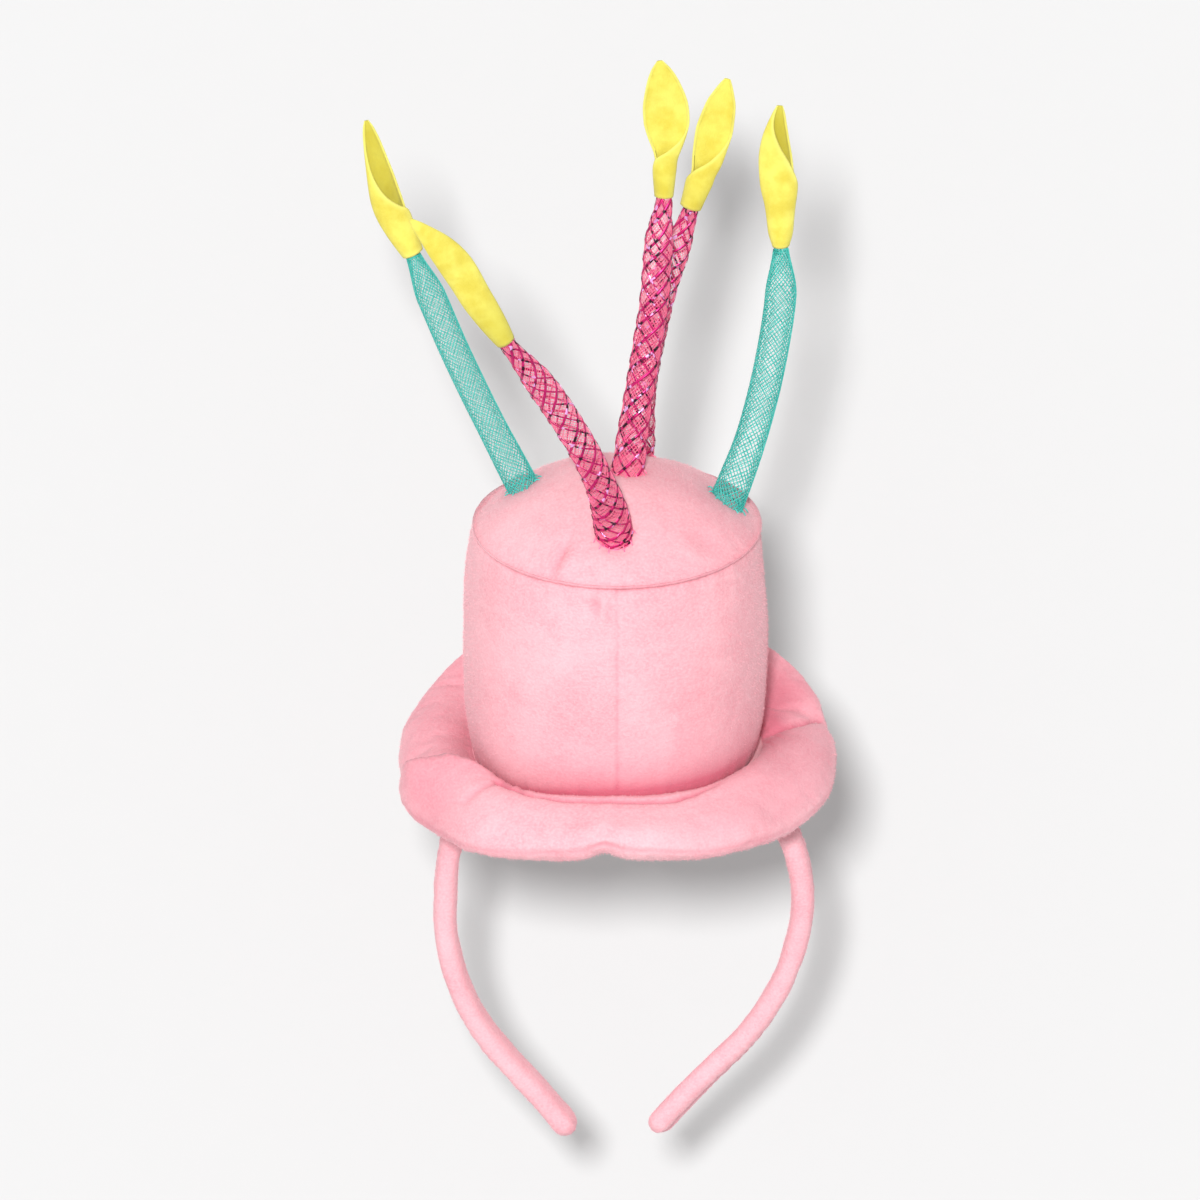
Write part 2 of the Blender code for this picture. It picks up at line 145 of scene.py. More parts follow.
class Line:
    """A smooth line through points of any number of columns."""

    def __init__(self, points: Sequence[Sequence[float]], spans: int = 24) -> None:
        """Lay the line.

        Args:
            points: What the line passes through, in order.
            spans: Steps between two of them.
        """
        known = np.array(points, float)
        known = np.vstack([2 * known[0] - known[1], known, 2 * known[-1] - known[-2]])
        t = np.linspace(0, 1, spans, endpoint=False)[:, None]
        runs = [0.5 * (2 * b + (c - a) * t + (2 * a - 5 * b + 4 * c - d) * t**2
                       + (3 * b - a - 3 * c + d) * t**3)
                for a, b, c, d in zip(known, known[1:], known[2:], known[3:])]
        self.points = np.vstack([*runs, known[-2:-1]])
        steps = np.linalg.norm(np.diff(self.points, axis=0), axis=1)
        self.along = np.concatenate([[0.0], np.cumsum(steps)])
        self.length = float(self.along[-1])

    def at(self, distance: Array) -> Array:
        """The points at those distances along the line."""
        return self.read(self.along, distance)

    def read(self, key: Array, values: Array) -> Array:
        """The line's columns where a rising key has those values."""
        return np.stack([np.interp(values, key, column) for column in self.points.T], -1)

    def ways(self, distance: Array) -> Array:
        """The direction of travel at those distances."""
        return unit(self.at(distance + 0.6) - self.at(distance - 0.6))

    def where(self, point: Sequence[float]) -> float:
        """How far along the line its nearest point to this one is."""
        return float(self.along[np.argmin(np.linalg.norm(self.points - point, axis=1))])


# ---------------------------------------------------------------- meshes


@dataclass(frozen=True)
class Pile:
    """Fine fibres that stand on a cover, leaning one way with some disorder."""

    per_mm2: float = 1.25
    length: float = 0.85
    width: float = 0.13
    lean: tuple = (0.15, 0.0, -0.9)
    seed: int = 3

    def grow(self, loops: Array, painted_shade: Array) -> tuple[Array, Array]:
        """Scatter fibres over the cover.

        Args:
            loops: The cover's points, (rows, columns, 3), in millimetres.
            painted_shade: The painted shade at each point, deepest in seams, folds and hollows; where it
                is high, the pile is shorter.

        Returns:
            Three points of each fibre, root, root and tip, (fibres, 3, 3), and the painted shade it
            takes from its root.
        """
        random = np.random.default_rng(self.seed)
        out = outwards(loops)
        beside = np.roll(loops, -1, axis=1)
        cell = np.cross(beside[:-1] - loops[:-1], loops[1:] - loops[:-1])
        area = np.linalg.norm(cell, axis=-1)
        wanted = random.poisson(area * self.per_mm2).ravel()
        pick = np.repeat(np.arange(area.size), wanted)
        row, column = np.divmod(pick, loops.shape[1])
        u, v = random.uniform(0, 1, (2, len(pick), 1))
        after = (column + 1) % loops.shape[1]

        def within(grid: Array) -> Array:
            """A grid's value at each fibre's place in its cell.

            Args:
                grid: A value for each of the cover's points, (rows, columns, n).

            Returns:
                A value for each fibre, (fibres, n).
            """
            low = grid[row, column] * (1 - u) + grid[row, after] * u
            high = grid[row + 1, column] * (1 - u) + grid[row + 1, after] * u
            return low * (1 - v) + high * v

        root, normal = within(loops), unit(within(out))
        deep = within(painted_shade[..., None])
        way = normal + 0.75 * np.array(self.lean) + random.normal(0, 0.45, root.shape)
        length = self.length * random.uniform(0.55, 1.25, deep.shape) * (1 - 0.6 * deep)
        tip = root + unit(way) * length
        beside = unit(np.cross(way, random.normal(0, 1, root.shape))) * self.width / 2
        root = root - normal * 0.1
        return np.stack([root - beside, root + beside, tip], 1), np.repeat(deep, 3, axis=1)


class Mesher:
    """Turns arrays of points in millimetres into linked objects."""

    @staticmethod
    def link(name: str, points: Array, faces: list, marks: dict[str, Array] | None = None) -> Piece:
        """Make one object.

        Args:
            name: The piece's name.
            points: Its vertices, (n, 3), in millimetres.
            faces: Its faces as lists of vertex numbers.
            marks: Values for materials to read, one per vertex.

        Returns:
            The object, linked to the scene, at the row frame's origin.
        """
        mesh = bpy.data.meshes.new(name)
        mesh.from_pydata((points.reshape(-1, 3) * MM).tolist(), [], faces)
        mesh.shade_smooth()
        for mark, values in (marks or {}).items():
            layer = mesh.attributes.new(mark, "FLOAT", "POINT")
            layer.data.foreach_set("value", np.asarray(values, np.float32).ravel())
        mesh.validate()
        piece = bpy.data.objects.new(name, mesh)
        bpy.context.scene.collection.objects.link(piece)
        return piece

    @staticmethod
    def skin(name: str, loops: Array, marks: dict[str, Array] | None = None,
             domed_ends: bool = False, pile: Pile | None = None) -> Piece:
        """Skin closed loops, each turning right-handed about the way they travel, and cap both ends.

        Args:
            name: The piece's name.
            loops: The loops' points, (rows, columns, 3), in millimetres.
            marks: Values of (rows, columns) for materials to read.
            domed_ends: Close each end with triangles to a middle point instead of one flat face.
            pile: Fibres to grow on it.

        Returns:
            The closed object.
        """
        rows, columns = loops.shape[:2]
        number = np.arange(rows * columns).reshape(rows, columns)
        right = np.roll(number, -1, axis=1)
        quads = np.stack([number[:-1], right[:-1], right[1:], number[1:]], -1)
        faces = quads.reshape(-1, 4).tolist()
        points = loops.reshape(-1, 3)
        extra = {mark: values.ravel() for mark, values in (marks or {}).items()}
        if domed_ends:
            points = np.vstack([points, loops[0].mean(0), loops[-1].mean(0)])
            first, last = rows * columns, rows * columns + 1
            faces += np.stack([right[0], number[0], np.full(columns, first)], -1).tolist()
            faces += np.stack([number[-1], right[-1], np.full(columns, last)], -1).tolist()
            extra = {m: np.concatenate([v, v[:1], v[-1:]]) for m, v in extra.items()}
        else:
            faces += [number[0, ::-1].tolist(), number[-1].tolist()]
        if pile:
            fibres, deep = pile.grow(loops, marks["painted_shade"])
            faces += (np.arange(fibres.size // 3).reshape(-1, 3) + len(points)).tolist()
            bare = np.zeros(len(points))
            points = np.vstack([points, fibres.reshape(-1, 3)])
            extra["painted_shade"] = np.concatenate([extra["painted_shade"], deep.ravel()])
            extra["tip"] = np.concatenate([bare, np.tile((0.0, 0.0, 1.0), len(fibres))])
        return Mesher.link(name, points, faces, extra)

    @staticmethod
    def strands(name: str, paths: Array, normals: Array, out: Array, across: Array,
                sides: int, lots: Array) -> Piece:
        """Make many closed strands as one object.

        Args:
            name: The piece's name.
            paths: The strands' middle lines, (strands, rows, 3).
            normals: The way that each strand's thickness faces, of the same shape.
            out: Half the thickness of each strand.
            across: Half the width of each strand.
            sides: Corners of a strand's section.
            lots: One number per strand, for materials to tell strands apart.

        Returns:
            The object, with the marks "run", how far along in millimetres, and "lot".
        """
        count, rows = paths.shape[:2]
        travel = unit(np.gradient(paths, axis=1))
        normals = unit(normals - travel * (normals * travel).sum(-1, keepdims=True))
        beside = np.cross(travel, normals)
        turn = (np.arange(sides) + 0.5) / sides * TURN
        high = (np.asarray(out)[:, None] * np.cos(turn))[:, None, :, None]
        wide = (np.asarray(across)[:, None] * np.sin(turn))[:, None, :, None]
        points = paths[:, :, None] + normals[:, :, None] * high + beside[:, :, None] * wide
        number = np.arange(points.size // 3).reshape(count, rows, sides)
        right = np.roll(number, -1, axis=2)
        quads = np.stack([number[:, :-1], right[:, :-1], right[:, 1:], number[:, 1:]], -1)
        faces = quads.reshape(-1, 4).tolist()
        faces += number[:, 0, ::-1].tolist() + number[:, -1].tolist()
        steps = np.linalg.norm(np.diff(paths, axis=1), axis=-1)
        run = np.concatenate([np.zeros((count, 1)), np.cumsum(steps, axis=1)], axis=1)
        marks = {"run": np.repeat(run[:, :, None], sides, 2),
                 "lot": np.broadcast_to(np.asarray(lots)[:, None, None], number.shape)}
        return Mesher.link(name, points, faces, marks)


# ---------------------------------------------------------------- cloth


@dataclass(frozen=True)
class Stuffer:
    """Swells a cover as its filling does, and lets the cloth settle into folds by itself.

    The simulation runs at ten times the size, where Blender's cloth moves best.
    """

    pressure: float = 4.0
    frames: int = 20
    scale: float = 10.0

    def swell(self, loops: Array, held: Array, most: float, growth: float = 0.0) -> Array:
        """Run the cloth and apply where it comes to rest.

        Args:
            loops: The cover's points, (rows, columns, 3), in millimetres.
            held: Which of them are sewn down.
            most: About how far a point may move, in millimetres.
            growth: Spare cloth, as a share of each length.
        """
        piece = Mesher.skin("cloth_run", loops * self.scale, domed_ends=True)
        ends = [loops.size // 3, loops.size // 3 + 1]
        sewn = piece.vertex_groups.new(name="sewn")
        sewn.add(np.flatnonzero(held.ravel()).tolist() + ends, 1.0, "REPLACE")
        cloth = piece.modifiers.new("cloth", "CLOTH")
        cloth.settings.quality = 5
        cloth.settings.use_pressure = True
        cloth.settings.uniform_pressure_force = self.pressure
        cloth.settings.shrink_min = -growth
        cloth.settings.effector_weights.gravity = 0.0
        cloth.settings.vertex_group_mass = "sewn"
        cloth.point_cache.frame_start, cloth.point_cache.frame_end = 1, self.frames
        scene = bpy.context.scene
        for number in range(1, self.frames + 1):
            scene.frame_set(number)
        rested = piece.evaluated_get(bpy.context.evaluated_depsgraph_get()).data
        flat = np.empty(len(rested.vertices) * 3, np.float32)
        rested.vertices.foreach_get("co", flat)
        scene.frame_set(1)
        bpy.data.objects.remove(piece)
        end = flat.reshape(-1, 3)[:ends[0]].reshape(loops.shape) / (MM * self.scale)
        step = end - loops
        size = np.maximum(np.linalg.norm(step, axis=-1, keepdims=True), 1e-6)
        LOG.info("cloth moved up to %.1f mm, held to %.1f mm", float(size.max()), most)
        return loops + step / size * most * np.tanh(size / most)


# ---------------------------------------------------------------- shader parts


class Tree:
    """Adds nodes to one node tree and joins them."""

    def __init__(self, tree: bpy.types.NodeTree) -> None:
        """Keep the tree to add to."""
        self.tree = tree

    def add(self, kind: str, inputs: dict | None = None, **settings: object) -> bpy.types.Node:
        """Add a node.

        Args:
            kind: The node's type, without "ShaderNode".
            inputs: What each of its inputs is, a value or the socket that feeds it.
            settings: The node's own properties.

        Returns:
            The node.
        """
        node = self.tree.nodes.new("ShaderNode" + kind)
        for name, value in settings.items():
            setattr(node, name, value)
        for name, value in (inputs or {}).items():
            if isinstance(value, bpy.types.NodeSocket):
                self.feed(value, node.inputs[name])
            else:
                node.inputs[name].default_value = value
        return node

    def feed(self, source: bpy.types.NodeSocket, target: bpy.types.NodeSocket) -> None:
        """Join one socket to another."""
        self.tree.links.new(source, target)

    def graded(self, source: object, span: float, low: object) -> bpy.types.NodeSocket:
        """A value that goes from low to low + span as the source goes from 0 to 1."""
        node = self.add("Math", {0: source, 1: span, 2: low}, operation="MULTIPLY_ADD")
        return node.outputs[0]

    def mark(self, name: str) -> bpy.types.NodeSocket:
        """A value that the mesh carries."""
        return self.add("Attribute", attribute_name=name).outputs["Fac"]

    def maths(self, operation: str, first: object, second: object = 0.0) -> bpy.types.NodeSocket:
        """The result of one Math node on two values or sockets."""
        node = self.add("Math", {0: first, 1: second}, operation=operation)
        return node.outputs[0]

    def blend(self, share: object, first: object, second: object) -> bpy.types.NodeSocket:
        """A colour that goes from the first to the second as the share goes from 0 to 1."""
        node = self.add("Mix", {0: share, 6: first, 7: second}, data_type="RGBA")
        return node.outputs[2]

    def spread(self, value: object, low: float, high: float) -> bpy.types.NodeSocket:
        """A value taken from the range low..high to 0..1, and held there."""
        node = self.add("MapRange", {0: value, 1: low, 2: high}, interpolation_type="SMOOTHSTEP")
        return node.outputs[0]


def shader_group(name: str, takes: Sequence[str], gives: Sequence[str]) -> tuple:
    """Start a node group of plain numbers.

    Args:
        name: The group's name.
        takes: Names of its number inputs.
        gives: Names of its number outputs.

    Returns:
        The group, a Tree to build in, its input node and its output node.
    """
    group = bpy.data.node_groups.new(name, "ShaderNodeTree")
    for title in takes:
        group.interface.new_socket(title, in_out="INPUT", socket_type="NodeSocketFloat")
    for title in gives:
        group.interface.new_socket(title, in_out="OUTPUT", socket_type="NodeSocketFloat")
    start = group.nodes.new("NodeGroupInput")
    end = group.nodes.new("NodeGroupOutput")
    return group, Tree(group), start, end


class Effects:
    """The effects that several materials share, each built once as a node group."""

    def __init__(self) -> None:
        """Build every group."""
        self.nap = self.build_nap()
        self.fibres = self.build_fibres()
        self.ply = self.build_ply()
        self.handling = self.build_handling()

    @staticmethod
    def build_nap() -> bpy.types.NodeTree:
        """Short pile: big patches where it leans another way, strokes, and single hairs.

        Returns:
            The group of nodes.
        """
        group, t, start, end = shader_group("nap", ("Patch Scale", "Hair Scale"),
                                            ("Lean", "Hair", "Height"))
        place = t.add("TexCoord").outputs["Object"]
        patch = t.add("TexNoise", {"Vector": place, "Scale": start.outputs["Patch Scale"],
                                   "Detail": 3.0, "Roughness": 0.55, "Distortion": 0.7})
        combed = t.add("Mapping", {"Vector": place, "Scale": (0.8, 0.8, 1.1)})
        stroke = t.add("TexNoise", {"Vector": combed.outputs[0], "Scale": 230.0, "Detail": 3.0,
                                    "Distortion": 0.5})
        hair = t.add("TexNoise", {"Vector": combed.outputs[0],
                                  "Scale": start.outputs["Hair Scale"], "Detail": 2.0})
        lean = t.maths("ADD", t.maths("MULTIPLY", patch.outputs[0], 0.66),
                       t.maths("MULTIPLY", stroke.outputs[0], 0.34))
        height = t.maths("ADD", t.maths("MULTIPLY", hair.outputs[0], 0.6),
                         t.maths("MULTIPLY", stroke.outputs[0], 0.8))
        t.feed(t.spread(lean, 0.34, 0.66), end.inputs["Lean"])
        t.feed(hair.outputs[0], end.inputs["Hair"])
        t.feed(height, end.inputs["Height"])
        return group

    @staticmethod
    def build_fibres() -> bpy.types.NodeTree:
        """Pressed felt: matted fibres that run every way, with soft clouds.

        Returns:
            The group of nodes.
        """
        group, t, start, end = shader_group("fibres", ("Fibre Scale",), ("Cloud", "Mat"))
        place = t.add("TexCoord").outputs["Object"]
        bend = t.add("TexNoise", {"Vector": place, "Scale": 400.0, "Detail": 2.0})
        pushed = t.add("VectorMath", {0: place}, operation="ADD")
        small = t.add("VectorMath", {0: bend.outputs[1], 3: 0.004}, operation="SCALE")
        t.feed(small.outputs[0], pushed.inputs[1])
        mat = t.add("TexNoise", {"Vector": pushed.outputs[0],
                                 "Scale": start.outputs["Fibre Scale"], "Detail": 4.0,
                                 "Roughness": 0.7, "Distortion": 1.6})
        cloud = t.add("TexNoise", {"Vector": place, "Scale": 130.0, "Detail": 3.0})
        t.feed(t.spread(cloud.outputs[0], 0.3, 0.7), end.inputs["Cloud"])
        t.feed(t.spread(mat.outputs[0], 0.25, 0.75), end.inputs["Mat"])
        return group

    @staticmethod
    def build_ply() -> bpy.types.NodeTree:
        """Twisted yarn: slanted plies along a strand's own run.

        Returns:
            The group of nodes.
        """
        group, t, start, end = shader_group("ply", ("Pitch",), ("Strand", "Height"))
        run = t.mark("run")
        place = t.add("TexCoord").outputs["Object"]
        shake = t.add("TexNoise", {"Vector": place, "Scale": 900.0, "Detail": 1.0})
        turns = t.maths("DIVIDE", run, start.outputs["Pitch"])
        wave = t.maths("SINE", t.graded(turns, TURN, shake.outputs[0]))
        t.feed(t.graded(wave, 0.5, 0.5), end.inputs["Height"])
        t.feed(t.spread(shake.outputs[0], 0.3, 0.7), end.inputs["Strand"])
        return group

    @staticmethod
    def build_handling() -> bpy.types.NodeTree:
        """Where a piece has been rubbed or has caught a little lint.

        Returns:
            The group of nodes.
        """
        group, t, start, end = shader_group("handling", ("Amount",), ("Rub", "Lint"))
        place = t.add("TexCoord").outputs["Object"]
        rub = t.add("TexNoise", {"Vector": place, "Scale": 24.0, "Detail": 5.0,
                                 "Roughness": 0.6})
        speck = t.add("TexVoronoi", {"Vector": place, "Scale": 95.0, "Randomness": 1.0})
        lint = t.maths("SUBTRACT", 1.0, t.spread(speck.outputs["Distance"], 0.02, 0.07))
        strong = start.outputs["Amount"]
        rubbed = t.maths("MULTIPLY", t.spread(rub.outputs[0], 0.45, 0.75), strong)
        t.feed(rubbed, end.inputs["Rub"])
        t.feed(t.maths("MULTIPLY", lint, strong), end.inputs["Lint"])
        return group


def new_material(name: str) -> tuple[bpy.types.Material, Tree, bpy.types.Node]:
    """A material, a Tree to build in and its Principled shader.

    Args:
        name: The material's name.

    Returns:
        The material, the Tree and the Principled shader.
    """
    made = bpy.data.materials.new(name)
    made.use_nodes = True
    return made, Tree(made.node_tree), made.node_tree.nodes["Principled BSDF"]


def fix(shader: bpy.types.Node, values: dict[str, object]) -> None:
    """Set a shader's own inputs."""
    for name, value in values.items():
        shader.inputs[name].default_value = value


def bumped(tree: Tree, shader: bpy.types.Node, height: object, strength: float,
           reach: float) -> None:
    """Feed a Bump node's normal to a shader.

    Args:
        tree: The material's tree.
        shader: The shader that takes the normal.
        height: The socket that gives the height.
        strength: The bump's strength.
        reach: How high a height of 1 stands, in millimetres.
    """
    bump = tree.add("Bump", {"Height": height, "Strength": strength, "Distance": reach * MM})
    tree.feed(bump.outputs[0], shader.inputs["Normal"])


# ---------------------------------------------------------------- finishes


@dataclass(frozen=True)
class PlushFinish:
    """Short-pile velour in baby pink, paler where the pile leans towards the light."""

    name: str = "plush"
    pale: tuple = (0.82, 0.415, 0.46, 1.0)
    deep: tuple = (0.78, 0.34, 0.39, 1.0)
    worn: tuple = (0.89, 0.58, 0.62, 1.0)
    # The colour that painted shade darkens the velour towards, in seams, folds and hollows.
    painted_shade: tuple = (0.60, 0.145, 0.205, 1.0)
    patch_scale: float = 34.0
    hair_scale: float = 1150.0
    handling: float = 0.55
    hair_share: float = 0.42
    rub_share: float = 0.5
    tip_share: float = 0.45
    roughness: float = 0.82
    sheen: float = 0.18

    def build(self, effects: Effects) -> bpy.types.Material:
        """Make the material.

        Args:
            effects: The shared groups of nodes.

        Returns:
            The material.
        """
        made, t, shader = new_material(self.name)
        nap = t.add("Group", {"Patch Scale": self.patch_scale, "Hair Scale": self.hair_scale},
                    node_tree=effects.nap)
        used = t.add("Group", {"Amount": self.handling}, node_tree=effects.handling)
        colour = t.blend(nap.outputs["Lean"], self.deep, self.pale)
        hair = t.spread(nap.outputs["Hair"], 0.25, 0.8)
        colour = t.blend(t.maths("MULTIPLY", hair, self.hair_share), colour, self.worn)
        colour = t.blend(t.maths("MULTIPLY", used.outputs["Rub"], self.rub_share), colour, self.worn)
        # Painted shade from the mesh's mark darkens the pink in seams, folds and hollows.
        colour = t.blend(t.mark("painted_shade"), colour, self.painted_shade)
        # Each pile fibre is paler towards its tip.
        colour = t.blend(t.maths("MULTIPLY", t.mark("tip"), self.tip_share), colour, self.worn)
        t.feed(colour, shader.inputs["Base Color"])
        t.feed(t.graded(nap.outputs["Hair"], 0.14, self.roughness), shader.inputs["Roughness"])
        fix(shader, {"Sheen Weight": self.sheen, "Sheen Roughness": 0.45,
                     "Sheen Tint": (1.0, 0.86, 0.88, 1.0), "Specular IOR Level": 0.1})
        bumped(t, shader, nap.outputs["Height"], 0.55, 0.5)
        return made


@dataclass(frozen=True)
class FeltFinish:
    """Thin pressed felt in lemon yellow."""

    name: str = "felt"
    light: tuple = (0.835, 0.76, 0.13, 1.0)
    dark: tuple = (0.71, 0.58, 0.058, 1.0)
    # Paler yellow, for the fibre mats and for the painted highlight along the felt's cut edges.
    edge: tuple = (0.93, 0.88, 0.22, 1.0)
    shade: tuple = (0.50, 0.43, 0.035, 1.0)
    fibre_scale: float = 1500.0
    handling: float = 0.5
    mat_share: float = 0.22
    edge_highlight_share: float = 0.6
    lint_share: float = 0.3
    roughness: float = 0.85
    sheen: float = 0.3

    def build(self, effects: Effects) -> bpy.types.Material:
        """Make the material.

        Args:
            effects: The shared groups of nodes.

        Returns:
            The material.
        """
        made, t, shader = new_material(self.name)
        felt = t.add("Group", {"Fibre Scale": self.fibre_scale}, node_tree=effects.fibres)
        used = t.add("Group", {"Amount": self.handling}, node_tree=effects.handling)
        colour = t.blend(felt.outputs["Cloud"], self.dark, self.light)
        colour = t.blend(t.maths("MULTIPLY", felt.outputs["Mat"], self.mat_share), colour, self.edge)
        # Painted highlight: paler along the leaf's cut edges and round its lowest row.
        colour = t.blend(t.maths("MULTIPLY", t.mark("rim"), self.edge_highlight_share), colour, self.edge)
        colour = t.blend(t.maths("MULTIPLY", used.outputs["Lint"], self.lint_share), colour, self.dark)
        # Painted shade on the inner face of the rolled leaves; the felt also darkens towards the neck.
        colour = t.blend(t.mark("inner"), colour, self.shade)
        t.feed(colour, shader.inputs["Base Color"])
        t.feed(t.graded(felt.outputs["Mat"], 0.12, self.roughness), shader.inputs["Roughness"])
        fix(shader, {"Sheen Weight": self.sheen, "Sheen Roughness": 0.5,
                     "Sheen Tint": (1.0, 1.0, 0.6, 1.0), "Specular IOR Level": 0.15})
        bumped(t, shader, felt.outputs["Mat"], 0.6, 0.25)
        return made


@dataclass(frozen=True)
class YarnFinish:
    """Smooth synthetic monofilament, tinted unevenly."""

    name: str
    light: tuple
    dark: tuple
    roughness: float = 0.38
    pitch: float = 1.1

    def build(self, effects: Effects) -> bpy.types.Material:
        """Make the material.

        Args:
            effects: The shared groups of nodes.

        Returns:
            The material.
        """
        made, t, shader = new_material(self.name)
        ply = t.add("Group", {"Pitch": self.pitch}, node_tree=effects.ply)
        share = t.maths("ADD", t.maths("MULTIPLY", ply.outputs["Strand"], 0.6),
                        t.maths("MULTIPLY", t.mark("lot"), 0.4))
        t.feed(t.blend(share, self.dark, self.light), shader.inputs["Base Color"])
        t.feed(t.graded(ply.outputs["Strand"], 0.15, self.roughness), shader.inputs["Roughness"])
        bumped(t, shader, ply.outputs["Height"], 0.4, 0.08)
        return made


@dataclass(frozen=True)
class TinselFinish:
    """Flat metallic thread in dashes of near-black and magenta, with violet glints."""

    name: str = "tinsel"
    black: tuple = (0.028, 0.003, 0.016, 1.0)
    magenta: tuple = (0.60, 0.012, 0.155, 1.0)
    glint: tuple = (0.95, 0.45, 0.88, 1.0)
    dash: float = 3.4

    def build(self) -> bpy.types.Material:
        """Make the material.

        Returns:
            The material.
        """
        made, t, shader = new_material(self.name)
        place = t.add("TexCoord").outputs["Object"]
        drift = t.add("TexNoise", {"Vector": place, "Scale": 170.0, "Detail": 2.0})
        turns = t.maths("ADD", t.maths("DIVIDE", t.mark("run"), self.dash), t.mark("lot"))
        turns = t.maths("ADD", turns, t.maths("MULTIPLY", drift.outputs[0], 1.6))
        saw = t.maths("PINGPONG", turns, 0.5)
        dark = t.spread(saw, 0.24, 0.30)
        long = t.spread(drift.outputs[0], 0.44, 0.54)
        colour = t.blend(t.maths("MULTIPLY", dark, long), self.magenta, self.black)
        cells = t.add("TexVoronoi", {"Vector": place, "Scale": 620.0})
        lit = t.add("SeparateColor", {0: cells.outputs["Color"]})
        sparkle = t.spread(lit.outputs[0], 0.91, 0.94)
        colour = t.blend(sparkle, colour, self.glint)
        t.feed(colour, shader.inputs["Base Color"])
        t.feed(t.graded(lit.outputs[1], 0.25, 0.22), shader.inputs["Roughness"])
        t.feed(t.graded(lit.outputs[2], 0.3, 0.35), shader.inputs["Metallic"])
        bumped(t, shader, lit.outputs[1], 0.5, 0.1)
        return made


@dataclass(frozen=True)
class PlasticFinish:
    """Milky moulded plastic of the hoop inside the sleeve."""

    name: str = "hoop_strip"
    light: tuple = (0.72, 0.72, 0.70, 1.0)
    dark: tuple = (0.60, 0.60, 0.58, 1.0)

    def build(self, effects: Effects) -> bpy.types.Material:
        """Make the material.

        Args:
            effects: The shared groups of nodes.

        Returns:
            The material.
        """
        made, t, shader = new_material(self.name)
        used = t.add("Group", {"Amount": 1.0}, node_tree=effects.handling)
        place = t.add("TexCoord").outputs["Object"]
        grain = t.add("TexNoise", {"Vector": place, "Scale": 900.0, "Detail": 3.0})
        t.feed(t.blend(used.outputs["Rub"], self.light, self.dark), shader.inputs["Base Color"])
        t.feed(t.graded(grain.outputs[0], 0.3, 0.3), shader.inputs["Roughness"])
        bumped(t, shader, grain.outputs[0], 0.2, 0.05)
        return made


@dataclass(frozen=True)
class FillingFinish:
    """Loose white polyester fibre."""

    name: str = "filling"
    light: tuple = (0.88, 0.88, 0.86, 1.0)
    dark: tuple = (0.70, 0.70, 0.69, 1.0)

    def build(self, effects: Effects) -> bpy.types.Material:
        """Make the material.

        Args:
            effects: The shared groups of nodes.

        Returns:
            The material.
        """
        made, t, shader = new_material(self.name)
        felt = t.add("Group", {"Fibre Scale": 500.0}, node_tree=effects.fibres)
        t.feed(t.blend(felt.outputs["Mat"], self.dark, self.light), shader.inputs["Base Color"])
        t.feed(t.graded(felt.outputs["Cloud"], 0.1, 0.88), shader.inputs["Roughness"])
        fix(shader, {"Sheen Weight": 0.4})
        bumped(t, shader, felt.outputs["Mat"], 0.9, 1.0)
        return made


class Wardrobe:
    """Every finish of the headband, built once."""

    def __init__(self) -> None:
        """Build the shared effects and each material."""
        effects = Effects()
        self.plush = PlushFinish().build(effects)
        self.felt = FeltFinish().build(effects)
        self.tinsel = TinselFinish().build()
        self.plastic = PlasticFinish().build(effects)
        self.filling = FillingFinish().build(effects)
        self.net = {
            Slot.TEAL_NET: YarnFinish("teal_yarn", (0.10, 0.64, 0.56, 1.0),
                                      (0.020, 0.43, 0.37, 1.0)).build(effects),
            Slot.PINK_NET: YarnFinish("pink_yarn", (1.0, 0.29, 0.45, 1.0),
                                      (0.95, 0.11, 0.27, 1.0)).build(effects),
        }
        self.thread = YarnFinish("pink_thread", (0.86, 0.36, 0.42, 1.0),
                                 (0.66, 0.20, 0.27, 1.0), 0.7, 0.6).build(effects)


def finished(piece: Piece, material: bpy.types.Material) -> Piece:
    """Dress a piece and report it.

    Args:
        piece: The piece, whose other materials go.
        material: What it is made of.

    Returns:
        The same piece.
    """
    piece.data.materials.clear()
    piece.data.materials.append(material)
    LOG.info("%s: %d faces, %s", piece.name, len(piece.data.polygons), material.name)
    return piece


# ---------------------------------------------------------------- crown


